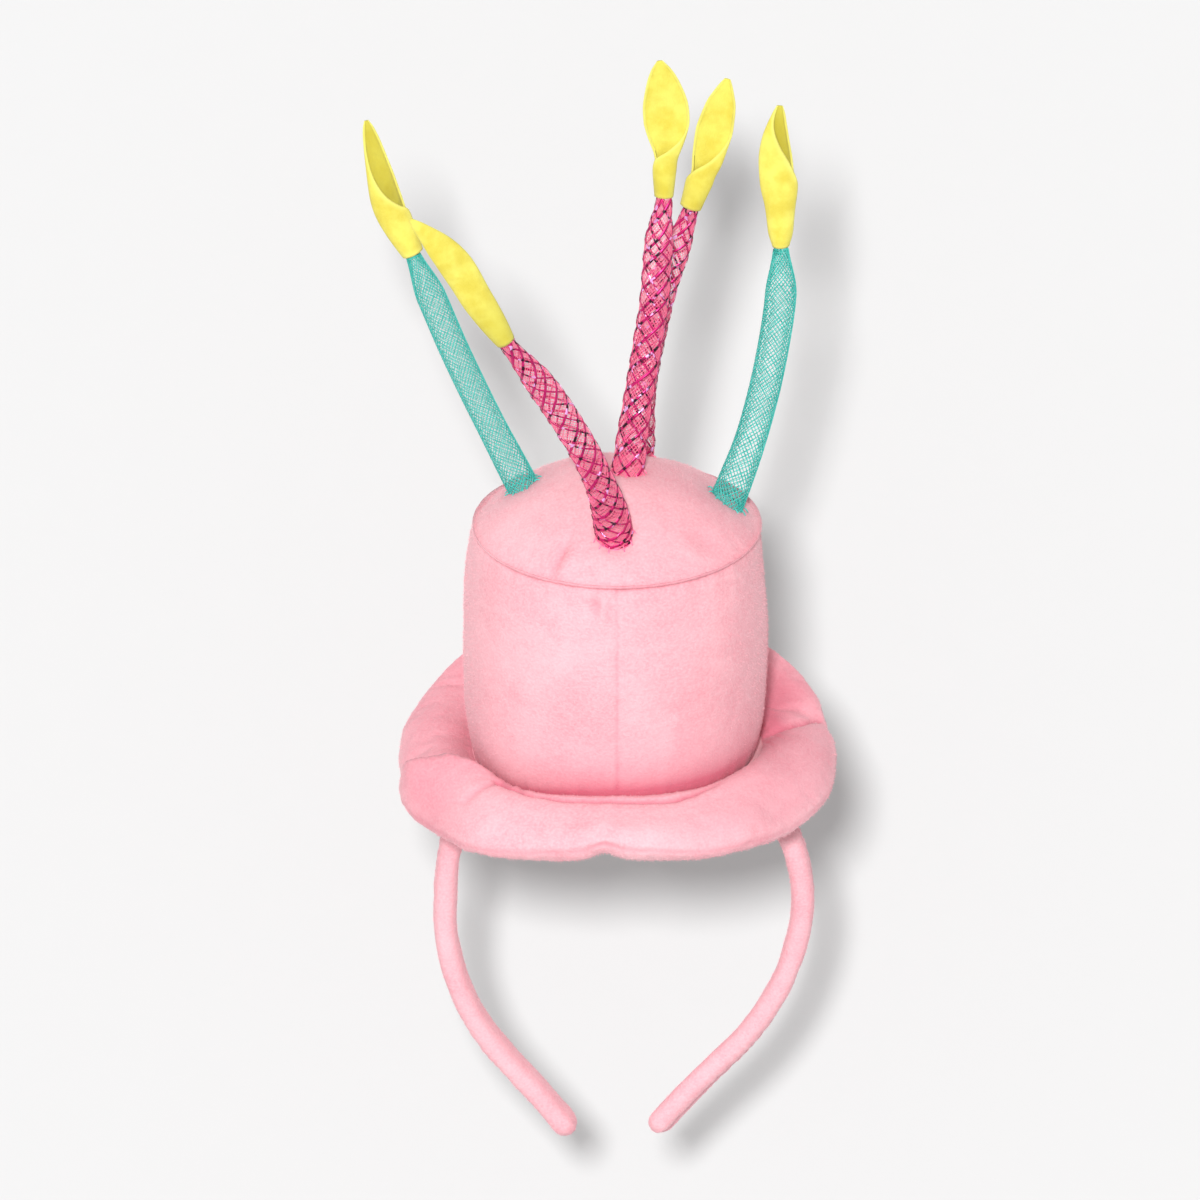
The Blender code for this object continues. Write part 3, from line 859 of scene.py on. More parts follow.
@dataclass
class Crown:
    """The stuffed top hat: a wall panel and a domed top panel sewn at the rim."""

    seam_height: float = 108.0
    seam_radius: float = 52.5
    rise: float = 23.0
    wall: tuple = ((51.2, 12.5), (52.5, 20.0), (53.9, 26.5), (55.4, 37.0), (56.0, 54.0),
                   (55.9, 74.0), (54.9, 92.0), (53.6, 103.0))
    wall_start: tuple = ((44.0, 15.0), (49.0, 13.0))
    wall_roll: tuple = ((53.3, 105.4), (53.15, 106.9), (52.7, 107.8), (51.6, 108.15), (48.5, 107.6))
    top_rim: tuple = ((48.5, 107.4), (51.6, 107.9), (52.6, 108.25), (53.0, 108.9), (52.95, 109.8))
    top_radius: float = 52.2
    top_rows: int = 62
    right_flat: float = 0.024
    wall_swell: float = 1.2
    wall_spare: float = 0.006
    top_swell: float = 0.9
    groove: float = 0.55
    tuck_depth: float = 0.9
    foot_shade: float = 1.15
    fold_depth: float = 1.4
    dent_depth: float = 1.1
    foot_pull: float = 1.3
    columns: int = 300
    wall_rows: int = 84
    front_seam: float = 269.6
    feet: Sequence[tuple[float, float]] = field(default_factory=list)

    def dome(self, radius: Array) -> Array:
        """Height of the domed top at that radius."""
        return self.seam_height + self.rise * (1 - (radius / self.seam_radius) ** 2)

    def angles(self) -> Array:
        """The columns' directions."""
        return np.arange(self.columns) / self.columns * TURN

    def pucker(self, angle: Array, seed: float) -> Array:
        """Small gathers along the rim seam, as a share from -1 to 1."""
        ring = ring_of(angle)
        return lumps(ring, 0.085, seed) + 0.5 * lumps(ring, 0.03, seed + 5.0)

    def grid(self, profile: Array) -> tuple[Array, Array, Array]:
        """Directions, radii and heights of a round panel with that section.

        Args:
            profile: The section's radius and height at each row, (rows, 2).

        Returns:
            Three arrays, each (rows, columns).
        """
        angle = np.repeat(self.angles()[None, :], len(profile), 0)
        radius, z = (np.repeat(c[:, None], self.columns, 1) for c in profile.T)
        return angle, radius, z

    def tucks(self, off: Array, z: Array) -> tuple[Array, Array]:
        """The two short tucks beside the upright seam, under the rim, and the puff between.

        Args:
            off: Distance round the wall from the upright seam, in millimetres.
            z: Height of each point.

        Returns:
            How deep in a tuck and how high on the puff each point is, from 0 to 1.
        """
        left = hill(off + 7.5, 2.0) * hill(z - 102, 4.0)
        middle = 0.6 * hill(off + 2.8, 1.1) * hill(z - 100, 5.0)
        return left + middle, hill(off + 5.0, 1.5) * hill(z - 99.5, 4.5)

    def build_wall(self, stuffer: Stuffer) -> Piece:
        """The side panel with its upright seam and the gathers under the rim.

        Args:
            stuffer: Lets the filling swell a cover.

        Returns:
            The piece.
        """
        line = Line([(r, z, 0.0) for r, z in self.wall])
        side = line.at(np.linspace(0, 1, self.wall_rows) * line.length)[:, :2]
        angle, radius, z = self.grid(np.vstack([self.wall_start, side, self.wall_roll]))
        below = np.clip(self.seam_height - z, 0, None)
        points = turned(radius, angle, z)
        soft = lumps(points, 30.0, 1.7) * 0.9 * smooth((z - 12) / 8) * smooth(below / 12)
        flat = self.right_flat * hill(from_degrees(angle, 0), 50)
        points[..., :2] *= (1 + soft / radius - flat)[..., None]
        held = (z < 14) | (z > 104.5) | (radius < 50)
        points = stuffer.swell(points, held, self.wall_swell, self.wall_spare)
        gathers = self.pucker(self.angles(), 3.0)[None, :]
        height = gathers * 0.5 * np.exp(-below / 5.0) * smooth((z - 60) / 30)
        ticks = self.ticks(angle) * np.exp(-below / 2.2) * (z > 60)
        lean = 0.9 * below / 95.0  # the upright seam wanders a little
        off = np.radians(from_degrees(angle, self.front_seam + lean)) * radius
        upright = hill(off, 0.7)
        uneven = 0.6 + 0.4 * lumps(np.stack([off * 0, off * 0, z], -1), 5.0, 9.0)
        height = height - self.groove * upright * uneven + 0.12 * hill(np.abs(off) - 2.6, 1.6)
        tuck, puff = self.tucks(off, z)
        height = height - self.tuck_depth * tuck + 0.8 * puff
        foot = np.exp(-np.clip(z - 22, 0, None) / 13.0)
        height = height + self.pucker(self.angles(), 31.0)[None, :] * 0.5 * foot**2 - 0.3 * ticks
        height = height + 0.14 * lumps(points, 7.0, 4.4)
        points = points + outwards(points) * (height * smooth((radius - 48) / 2))[..., None]
        rim = np.exp(-below / 0.8) * (z > 60) * self.rim_shade_strength(angle)
        ledge = np.interp(np.degrees(angle), *zip(*Brim.ledge)) + 1.5
        joint = np.exp(-np.clip(z - ledge, 0, None) / 2.2)
        shaded = self.foot_shade * (1 - 0.65 * hill(from_degrees(angle, 225), 30))
        # Painted shade: darker in the upright seam, the rim seam, the tucks and the stitch pulls, up the
        # wall's foot above the brim, and most where the wall meets the brim.
        painted_shade = 0.34 * upright * uneven + 0.38 * rim + 0.35 * tuck + shaded * foot + 0.15 * ticks
        painted_shade = painted_shade + 0.5 * joint
        return Mesher.skin("crown_wall_cover", points, {"painted_shade": np.clip(painted_shade, 0, 1)},
                           domed_ends=True, pile=Pile())

    def rim_shade_strength(self, angle: Array) -> Array:
        """How strong the painted shade along the rim seam is in each direction: strongest in front, weak
        on the left and behind.
        """
        plain = hill(from_degrees(angle, 292), 48) + 0.45 * hill(from_degrees(angle, 225), 30)
        return np.clip(plain * (0.75 + 0.5 * lumps(ring_of(angle), 0.06, 2.0)), 0, 1) + 0.03

    def ticks(self, angle: Array) -> Array:
        """The needle's close, uneven pulls along the right of the rim seam."""
        phase = np.degrees(angle) * 1.9 + 2.5 * lumps(ring_of(angle), 0.1, 44.0)
        return np.clip(np.sin(phase), 0, 1) ** 2 * hill(from_degrees(angle, 307), 30)

    def build_top(self, stuffer: Stuffer) -> Piece:
        """The domed panel, pulled down where each candle is sewn on.

        Args:
            stuffer: Lets the filling swell a cover.

        Returns:
            The piece.
        """
        radii = self.top_radius * (1 - np.linspace(0, 1, self.top_rows) ** 1.25 * 0.985)
        top = np.stack([radii, self.dome(radii) + 0.5 * smooth((53 - radii) / 7.0)], 1)
        angle, radius, z = self.grid(np.vstack([self.top_rim, top]))
        inward = np.clip(52.7 - radius, 0, None)
        points = turned(radius, angle, z)
        outer = smooth((z - 108.6) / 2)
        points[..., 2] += lumps(points, 26.0, 8.1) * 0.9 * outer * smooth(inward / 5)
        foot_gap = [np.hypot(points[..., 0] - x, points[..., 1] - y) for x, y in self.feet]
        nearest = np.min(foot_gap, axis=0)
        points = stuffer.swell(points, (z < 109.9) | (nearest < 5.5), self.top_swell)
        gathers = self.pucker(self.angles(), 13.0)[None, :]
        ticks = self.ticks(angle) * np.exp(-inward / 2.2)
        lift = gathers * 0.6 * np.exp(-inward / 4.5) * outer + 0.16 * lumps(points, 7.0, 2.2)
        across = np.radians(from_degrees(angle, 242.5)) * radius
        fold = hill(across, 1.5) * hill(radius - 44.5, 6.5)
        lift = lift - self.fold_depth * fold + 0.9 * hill(across - 4.2, 2.6) * hill(radius - 46, 6.0)
        right = np.radians(from_degrees(angle, 318.0)) * radius
        dent = hill(right, 5.0) * hill(radius - 43.0, 5.0)
        lift = lift - self.dent_depth * dent - 0.3 * ticks - self.foot_pull * hill(nearest, 8.5)
        points[..., 2] += lift * outer
        seam = np.exp(-inward / 0.8) * (z < 109.9) * self.rim_shade_strength(angle)
        # Painted shade: darker in the fold, the dent, the rim seam, the stitch pulls and a ring round
        # each candle's foot.
        painted_shade = 0.3 * fold + 0.1 * dent + 0.42 * seam + 0.25 * hill(nearest - 5.8, 2.0) + 0.15 * ticks
        # Painted shade across the right of the dome.
        painted_shade = painted_shade + 0.14 * hill(from_degrees(angle, 335), 40) * hill(radius - 38, 14)
        return Mesher.skin("crown_top_cover", points, {"painted_shade": np.clip(painted_shade, 0, 1)},
                           domed_ends=True, pile=Pile(seed=5))

    def build_filling(self) -> Piece:
        """The wad of fibre inside the crown, well clear of both panels.

        Returns:
            The piece.
        """
        rows = np.linspace(0, 1, 26)
        radius = 47.0 * np.sqrt(np.clip(1 - (2 * rows - 1) ** 4, 0.02, 1))
        z = 26.0 + rows * 86.0
        angle = np.arange(72)[None, :] / 72 * TURN
        points = turned(radius[:, None], angle, z[:, None] + 0 * angle)
        grow = 1 + 0.05 * lumps(points, 12.0, 6.0)
        points[..., :2] *= grow[..., None]
        return Mesher.skin("crown_filling", points, None, domed_ends=True)

    def build(self, wardrobe: Wardrobe, stuffer: Stuffer) -> None:
        """Make the crown's pieces and bind them to the hat.

        Args:
            wardrobe: The hat's materials.
            stuffer: Lets the filling swell a cover.
        """
        wall = finished(self.build_wall(stuffer), wardrobe.plush)
        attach(wall, "hat")
        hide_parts("crown_side_panel")
        top = finished(self.build_top(stuffer), wardrobe.plush)
        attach(top, "hat")
        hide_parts("crown_top_panel")
        wad = finished(self.build_filling(), wardrobe.filling)
        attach(wad, "hat")
        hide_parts("crown_stuffing")


# ---------------------------------------------------------------- brim


@dataclass(frozen=True)
class BrimGrid:
    """The flat brim as a grid, with bells that place its folds."""

    angle: Array
    radius: Array
    z: Array
    upper: Array

    def near(self, centre: float, width: float) -> Array:
        """A bell about one direction, in degrees."""
        return hill(from_degrees(self.angle, centre), width)

    def ring(self, centre: float, width: float) -> Array:
        """A bell about one radius."""
        return hill(self.radius - centre, width)

    def spoke(self, inner: float, outer: float, width: float) -> Array:
        """A bell about a line from one direction at the crown to another at the edge.

        Args:
            inner: The line's direction at the crown, in degrees.
            outer: Its direction at the edge, in degrees.
            width: The bell's width, in millimetres.

        Returns:
            The bell's height at each point, from 0 to 1.
        """
        line = inner + (outer - inner) * (self.radius - 53.0) / 27.0
        off = from_degrees(self.angle - np.radians(line), 0.0)
        return hill(np.radians(off) * self.radius, width)


@dataclass
class Brim:
    """The stuffed brim: curled up behind, drooping in front, with soft folds.

    The bulges say how far, in which direction and how broadly the edge stands out. The shades are
    patches of painted shade: how dark, then direction, width, radius and reach.
    """

    middle: float = 67.0
    half_width: float = 14.1
    half_thickness: float = 7.0
    mid_z: float = 15.5
    underside: float = 9.0
    floor_radius: float = 60.0
    edge_radius: float = 81.1
    power: float = 2 / 2.6
    lifts: tuple = (-2.0, 10.3, 20.0, 19.0, 17.5, 7.0, -4.2, -9.5, -5.5, 0.5, -4.5, -6.0)
    ledge: tuple = ((0, 22.0), (30, 21.0), (90, 21.0), (150, 20.0), (180, 18.0), (200, 17.5),
                    (217, 18.5), (237, 21.3), (253, 24.0), (270, 25.4), (290, 25.0), (305, 24.6),
                    (326, 25.0), (345, 23.6), (360, 22.0))
    fold_ridge: tuple = ((57, 219), (60, 210), (65, 202), (74, 195.7), (81, 191))
    fold_height: float = 6.6
    valley_depth: float = 2.6
    notch_depth: float = 2.2
    notch_rise: float = 1.6
    bulges: tuple = ((2.6, 198, 9), (-1.0, 186, 4), (2.6, 230, 11), (0.9, 343, 10), (-1.0, 13, 5))
    gutter_line: tuple = ((222, 60.0), (240, 61.3), (290, 60.8), (314, 56.5))
    top_shades: tuple = ((0.75, 9, 17, 54, 9.0), (0.22, 212, 22, 60, 9.0), (0.45, 27, 12, 67, 9.0))
    edge_shades: tuple = ((0.24, 212, 12, 78, 8.0), (0.22, 307, 20, 74, 9.0))
    swell_most: float = 1.5
    columns: int = 320

    def lift(self, angle: Array) -> Array:
        """Lift of the outer edge in that direction.

        Args:
            angle: Directions, in radians.

        Returns:
            The lifts, in millimetres.
        """
        count = len(self.lifts)
        place = np.asarray(angle) / TURN * count
        i = np.floor(place).astype(int)
        t = place - i
        table = np.array(self.lifts)
        a, b, c, d = (table[(i + k) % count] for k in (-1, 0, 1, 2))
        return 0.5 * (2 * b + (c - a) * t + (2 * a - 5 * b + 4 * c - d) * t**2
                      + (3 * b - a - 3 * c + d) * t**3)

    def section(self) -> tuple[Array, Array, Array]:
        """The flat brim's section from the middle of its top round to the middle of its base.

        Returns:
            Radius, height and how much each point belongs to the upper face.
        """
        over = np.radians(np.linspace(178, 0, 46))
        under = np.radians(np.linspace(-5, -112, 24))
        turn = np.concatenate([over, under])
        c, s = np.cos(turn), np.sin(turn)
        radius = self.middle + self.half_width * np.sign(c) * np.abs(c) ** self.power
        z = self.mid_z + self.half_thickness * np.sign(s) * np.abs(s) ** self.power
        z = np.where((s > 0) & (radius < self.middle), np.maximum(z, 20.6 - 0.25 * (57 - radius)), z)
        z = np.maximum(z, self.underside)
        upper = smooth(s / 0.8 + 0.1)
        hidden = np.array([(20.0, 19.0), (44.0, 19.0), (50.0, 19.2)])
        base = np.array([(54.0, 9.05), (42.0, 9.1), (28.0, 9.1), (12.0, 9.1)])
        radius = np.concatenate([hidden[:, 0], radius, base[:, 0]])
        z = np.concatenate([hidden[:, 1], z, base[:, 1]])
        upper = np.concatenate([np.zeros(3), upper, np.zeros(4)])
        return radius[::-1], z[::-1], upper[::-1]

    def grid(self) -> BrimGrid:
        """The flat brim: a row for each point of its section, a column for each direction.

        Returns:
            The grid.
        """
        section = self.section()
        angle = np.repeat((np.arange(self.columns) / self.columns * TURN)[None, :], len(section[0]), 0)
        radius, z, upper = (np.repeat(c[:, None], self.columns, 1) for c in section)
        return BrimGrid(angle, radius, z, upper)

    def past_fold(self, g: BrimGrid) -> Array:
        """How far past the big left fold's ridge each point lies, in millimetres."""
        ridge = np.interp(g.radius, *zip(*self.fold_ridge))
        return np.radians(from_degrees(g.angle - np.radians(ridge), 0.0)) * g.radius

    def notch(self, g: BrimGrid) -> Array:
        """The small tuck at the middle of the front edge."""
        return g.near(266.5, 4.0) * smooth((g.radius - 66) / 12)

    def edge(self, g: BrimGrid) -> Array:
        """The seam between the two panels, round the outer edge."""
        return hill(g.z - self.mid_z, 1.1) * smooth((g.radius - 76) / 3)

    def shape(self, g: BrimGrid) -> Array:
        """The brim's points before the filling swells it.

        Args:
            g: The flat brim.

        Returns:
            The points, (rows, columns, 3), in millimetres.
        """
        share = np.clip((g.radius - self.floor_radius) / (self.edge_radius - self.floor_radius), 0, 1.2)
        past, notch = self.past_fold(g), self.notch(g)
        fold = smooth((past + 3.2) / 4.2) * np.exp(-np.clip(past, 0, None) / 21) * (np.abs(past) < 90)
        valley = hill(past + 5.0, 3.2) * smooth((g.radius - 53) / 6)
        ledge = np.interp(np.degrees(g.angle), *zip(*self.ledge)) - 20.0
        height = ledge * smooth((68 - g.radius) / 14)
        height = height + self.fold_height * fold * smooth((g.radius - 54) / 6)
        height = height - self.valley_depth * valley
        height = height + 1.8 * g.near(352, 12) * g.ring(69, 8.0) - 1.6 * g.spoke(3, 14, 4.5)
        height = height + 1.6 * g.near(250, 26) * g.ring(65.5, 5.0)
        bulge = sum(size * g.near(centre, width) for size, centre, width in self.bulges)
        wide = g.radius + bulge * smooth((g.radius - 62) / 14) - self.notch_depth * notch
        lift = self.lift(g.angle) * share**1.5
        tall = g.z + height * g.upper + lift + self.notch_rise * notch * (1 - g.upper)
        points = turned(wide - 0.12 * np.abs(lift) * share, g.angle, tall)
        soft = lumps(points, 24.0, 5.5) * 1.1
        free = smooth((g.radius - 54) / 8) * np.where(g.upper > 0.02, 1.0, 0.35)
        points[..., 2] += soft * free
        slack = 0.5 * soft * free * share / (wide - 0.12 * np.abs(lift) * share)
        points[..., :2] *= (1 + slack)[..., None]
        return points

    def build_cover(self, stuffer: Stuffer) -> Piece:
        """The upper and lower panels as one sewn, stuffed cover.

        Args:
            stuffer: Lets the filling swell a cover.

        Returns:
            The piece.
        """
        g = self.grid()
        past, notch, edge = self.past_fold(g), self.notch(g), self.edge(g)
        base = g.ring(self.floor_radius, 2.2) * (g.z < 9.3)
        held = (g.radius < 53.4) | ((g.z < 9.3) & (g.radius < 61)) | (edge > 0.6)
        points = stuffer.swell(self.shape(g), held, self.swell_most)
        degrees, ring = np.degrees(g.angle), ring_of(g.angle)
        gathers = lumps(ring, 0.10, 21.0)
        front = smooth(from_degrees(g.angle, 220) / 8) * smooth(-from_degrees(g.angle, 316) / 22)
        trough = np.interp(degrees, *zip(*self.gutter_line))
        gutter = hill(g.radius - trough - 0.9 * gathers, 1.1) * front * g.upper
        right = g.spoke(3, 14, 1.7) * smooth((g.radius - 53) / 5) * g.upper
        creep = g.spoke(226, 219, 1.6) * smooth((g.radius - 56) / 4)
        creep = creep * smooth((76 - g.radius) / 6) * g.upper
        puckers = g.near(229, 9) * g.ring(57.0, 4.0) * g.upper
        ripple = np.sin(degrees * 1.25 + 3 * lumps(ring, 0.2, 3.0)) * g.ring(54.5, 3.5) * g.upper
        sink = 1.9 * gutter + 1.6 * right + 0.9 * creep + 1.2 * puckers * (0.5 + lumps(points, 3.2, 6.0))
        sink = sink + (0.5 + 0.3 * gathers) * edge + 0.4 * notch * edge + 0.8 * base
        rise = 0.2 * lumps(points, 6.0, 7.7) + 0.10 * ripple * smooth((22 - g.z) / 1)
        points = points + outwards(points) * ((rise - sink) * smooth((g.radius - 50) / 3))[..., None]
        # Painted shade: darker in the gutter, the folds, the puckers, the edge seam and the notch, in
        # the base seam, where the brim meets the crown, and in the listed patches.
        joint = g.ring(53.0, 1.3) * g.upper
        painted_shade = 0.72 * gutter + 0.5 * right + 0.25 * creep + 0.4 * puckers + 0.22 * edge
        painted_shade = painted_shade + 0.5 * hill(past + 3.0, 2.6) * g.upper * smooth((g.radius - 53) / 6)
        painted_shade = painted_shade + 0.75 * joint + 0.25 * notch * edge + 0.3 * base
        for shades, where in ((self.top_shades, g.upper), (self.edge_shades, 1.0)):
            for amount, centre, width, radius, reach in shades:
                painted_shade = painted_shade + amount * g.near(centre, width) * g.ring(radius, reach) * where
        # Painted shade over the brim's upper face everywhere but the front, and close round the crown's
        # foot.
        behind = smooth(from_degrees(g.angle, 300) / 35) + smooth(-from_degrees(g.angle, 222) / 25)
        painted_shade = painted_shade + (0.28 * np.clip(behind, 0, 1) + 0.3 * g.ring(52, 8.0)) * g.upper
        return Mesher.skin("brim_cover", points, {"painted_shade": np.clip(painted_shade, 0, 0.9)},
                           domed_ends=True, pile=Pile(seed=7))

    def build_filling(self) -> Piece:
        """The ring of fibre inside the brim.

        Returns:
            The piece.
        """
        turn = np.arange(20) / 20 * TURN
        angle = np.arange(96) / 96 * TURN
        section_r = self.middle + (self.half_width - 4.0) * np.cos(turn)
        section_z = self.mid_z + (self.half_thickness - 3.4) * np.sin(turn)
        share = np.clip((section_r - self.floor_radius) / (self.edge_radius - self.floor_radius), 0, 1)
        lift = self.lift(angle)[:, None] * share[None, :] ** 1.5
        radius = section_r[None, :] - 0.12 * np.abs(lift) * share
        place = turned(radius, angle[:, None], section_z[None, :] + lift)
        place[..., 2] += 0.5 * lumps(place, 6.0, 2.0)
        rows, columns = place.shape[:2]
        number = np.arange(rows * columns).reshape(rows, columns)
        down, right = np.roll(number, -1, axis=0), np.roll(number, -1, axis=1)
        corner = np.roll(down, -1, axis=1)
        faces = np.stack([number, down, corner, right], -1).reshape(-1, 4).tolist()
        return Mesher.link("brim_filling_ring", place, faces)

    def build(self, wardrobe: Wardrobe, stuffer: Stuffer) -> None:
        """Make the brim's pieces and bind them to the hat.

        Args:
            wardrobe: The hat's materials.
            stuffer: Lets the filling swell a cover.
        """
        cover = finished(self.build_cover(stuffer), wardrobe.plush)
        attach(cover, "hat")
        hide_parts("brim_top_panel", "brim_bottom_panel")
        ring = finished(self.build_filling(), wardrobe.filling)
        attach(ring, "hat")
        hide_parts("brim_filling")


# ---------------------------------------------------------------- band


@dataclass
class Band:
    """The plush sleeve on the springy hoop, in a left and a right half."""

    left_leg: tuple = ((-16.2, -139.5), (-28.8, -123.5), (-46.2, -102.0), (-57.4, -81.0),
                       (-62.8, -59.0), (-63.2, -42.0), (-61.8, -26.0))
    left_flex: tuple = (-57.8, -13.5)
    bridge: tuple = ((-49.0, -4.6), (-30.0, 1.7), (0.0, 4.25), (30.0, 1.9), (51.0, -4.2))
    right_flex: tuple = (60.2, -12.6)
    right_leg: tuple = ((65.8, -25.0), (68.3, -42.0), (66.6, -59.0), (60.0, -79.5),
                        (48.8, -98.5), (28.1, -121.5), (13.4, -139.0))
    thickness: float = 8.5
    width: float = 13.0
    tip_rounding: float = 6.0
    right_twist: float = 28.0
    columns: int = 40
    step: float = 0.8
    blend_reach: float = 9.0

    def whole_line(self) -> Line:
        """The strip's middle line from the left tip over the top to the right tip."""
        flat = (*self.left_leg, self.left_flex, *self.bridge, self.right_flex, *self.right_leg)
        return Line([(x, 0.0, z) for x, z in flat])

    def flex(self, side: Side) -> tuple[float, float, float]:
        """Where that side's leg flexes."""
        x, z = self.left_flex if side is Side.LEFT else self.right_flex
        return x, 0.0, z

    def build_half(self, side: Side) -> tuple[Piece, Array, Array]:
        """One half of the sleeve from the top of the head to its tip.

        Args:
            side: Which half.

        Returns:
            The piece, and the points where its bend at the flex starts and ends.
        """
        line = self.whole_line()
        top, flex = line.where((0.0, 0.0, 4.25)), line.where(self.flex(side))
        tip = 0.0 if side is Side.LEFT else line.length
        total = abs(tip - top)
        flat = np.arange(0, total - self.tip_rounding, self.step)
        round_off = np.radians(np.linspace(0, 86, 13))
        run = np.concatenate([flat, total - self.tip_rounding * (1 - np.sin(round_off))])
        scale = np.concatenate([np.ones(len(flat)), np.cos(round_off)])
        distance = top + np.sign(tip - top) * run
        middle = line.at(distance)
        way = line.ways(distance) * np.sign(tip - top)
        across = np.broadcast_to(np.array((0.0, 1.0, 0.0)), way.shape)
        through = unit(np.cross(way, across))
        leg_share = (run - abs(flex - top)) / (total - abs(flex - top))
        twist = np.radians(self.right_twist if side is Side.RIGHT else 5.0)
        twist = twist * smooth((leg_share - 0.25) / 0.6)
        turn = (np.arange(self.columns) + 0.5) / self.columns * TURN
        c, s = np.cos(turn), np.sin(turn)
        wide = self.width / 2 * np.sign(c) * np.abs(c) ** 0.78
        thick = self.thickness / 2 * np.sign(s) * np.abs(s) ** 0.78
        to_tip = (total - run)[:, None]
        pleat = 1 - 0.09 * np.cos(7 * turn)[None, :] * np.exp(-to_tip / 3.0)
        w = wide[None, :] * scale[:, None] * pleat
        t = thick[None, :] * scale[:, None] * pleat
        w, t = (w * np.cos(twist)[:, None] - t * np.sin(twist)[:, None],
                w * np.sin(twist)[:, None] + t * np.cos(twist)[:, None])
        loops = middle[:, None] + across[:, None] * w[..., None] + through[:, None] * t[..., None]
        outward = unit(loops - middle[:, None])
        inner = -1.0 if side is Side.LEFT else 1.0
        face = np.clip(np.sin(turn) * inner, 0, 1)[None, :]
        seam = hill((turn - (math.pi / 2 if inner > 0 else 1.5 * math.pi))[None, :] * 5.0, 0.75)
        bends = hill(run - abs(flex - top), 16.0) + 0.7 * hill(to_tip[:, 0] - 45, 22.0)
        ripple = np.sin(run * 1.35 + 2 * np.sin(run * 0.31)) * bends
        grow = 0.28 * ripple[:, None] * face + 0.35 * lumps(loops, 11.0, 14.0 + side.value)
        grow = grow - 0.75 * seam * smooth(to_tip / 4) + 0.12 * lumps(loops, 3.5, 3.0)
        loops = loops + outward * (grow * smooth(to_tip / 5))[..., None]
        # Painted shade: darker along the inner seam, at the gathered tip and in the ripples' troughs.
        painted_shade = 0.5 * seam + 0.3 * np.exp(-to_tip / 1.6) + 0.12 * np.clip(-ripple, 0, 1)[:, None] * face
        piece = Mesher.skin(f"band_cover_{side.word}", loops, {"painted_shade": np.clip(painted_shade, 0, 1)},
                            domed_ends=True, pile=Pile(seed=9, length=0.7))
        ends = line.at(flex + np.array((-1.0, 1.0)) * self.blend_reach * np.sign(tip - top))
        return piece, ends[0], ends[1]

    def build(self, wardrobe: Wardrobe) -> None:
        """Make both halves and dress what CAD holds inside them.

        Args:
            wardrobe: The hat's materials.
        """
        for side in Side:
            piece, start, end = self.build_half(side)
            finished(piece, wardrobe.plush)
            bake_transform(piece)
            stood_for = [f"sleeve_leg_{side.word}"]
            if side is Side.LEFT:
                stood_for.append("sleeve_bridge")
            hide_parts(*stood_for)
            self.dress(f"hoop_leg_{side.word}", wardrobe.plastic, Slot.PLASTIC)
            self.dress(f"band_tack_{side.word}", wardrobe.thread, Slot.THREAD)
        self.dress("hoop_bridge", wardrobe.plastic, Slot.PLASTIC)

    @staticmethod
    def dress(node: str, material: bpy.types.Material, slot: Slot) -> None:
        """Give a CAD node that stays its finish.

        Args:
            node: The node's name.
            material: What it is made of.
            slot: Not used.
        """
        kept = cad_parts[node]
        for place in kept.material_slots:
            place.material = material
        LOG.info("%s: kept from the frame, %s", node, material.name)


# ---------------------------------------------------------------- candles


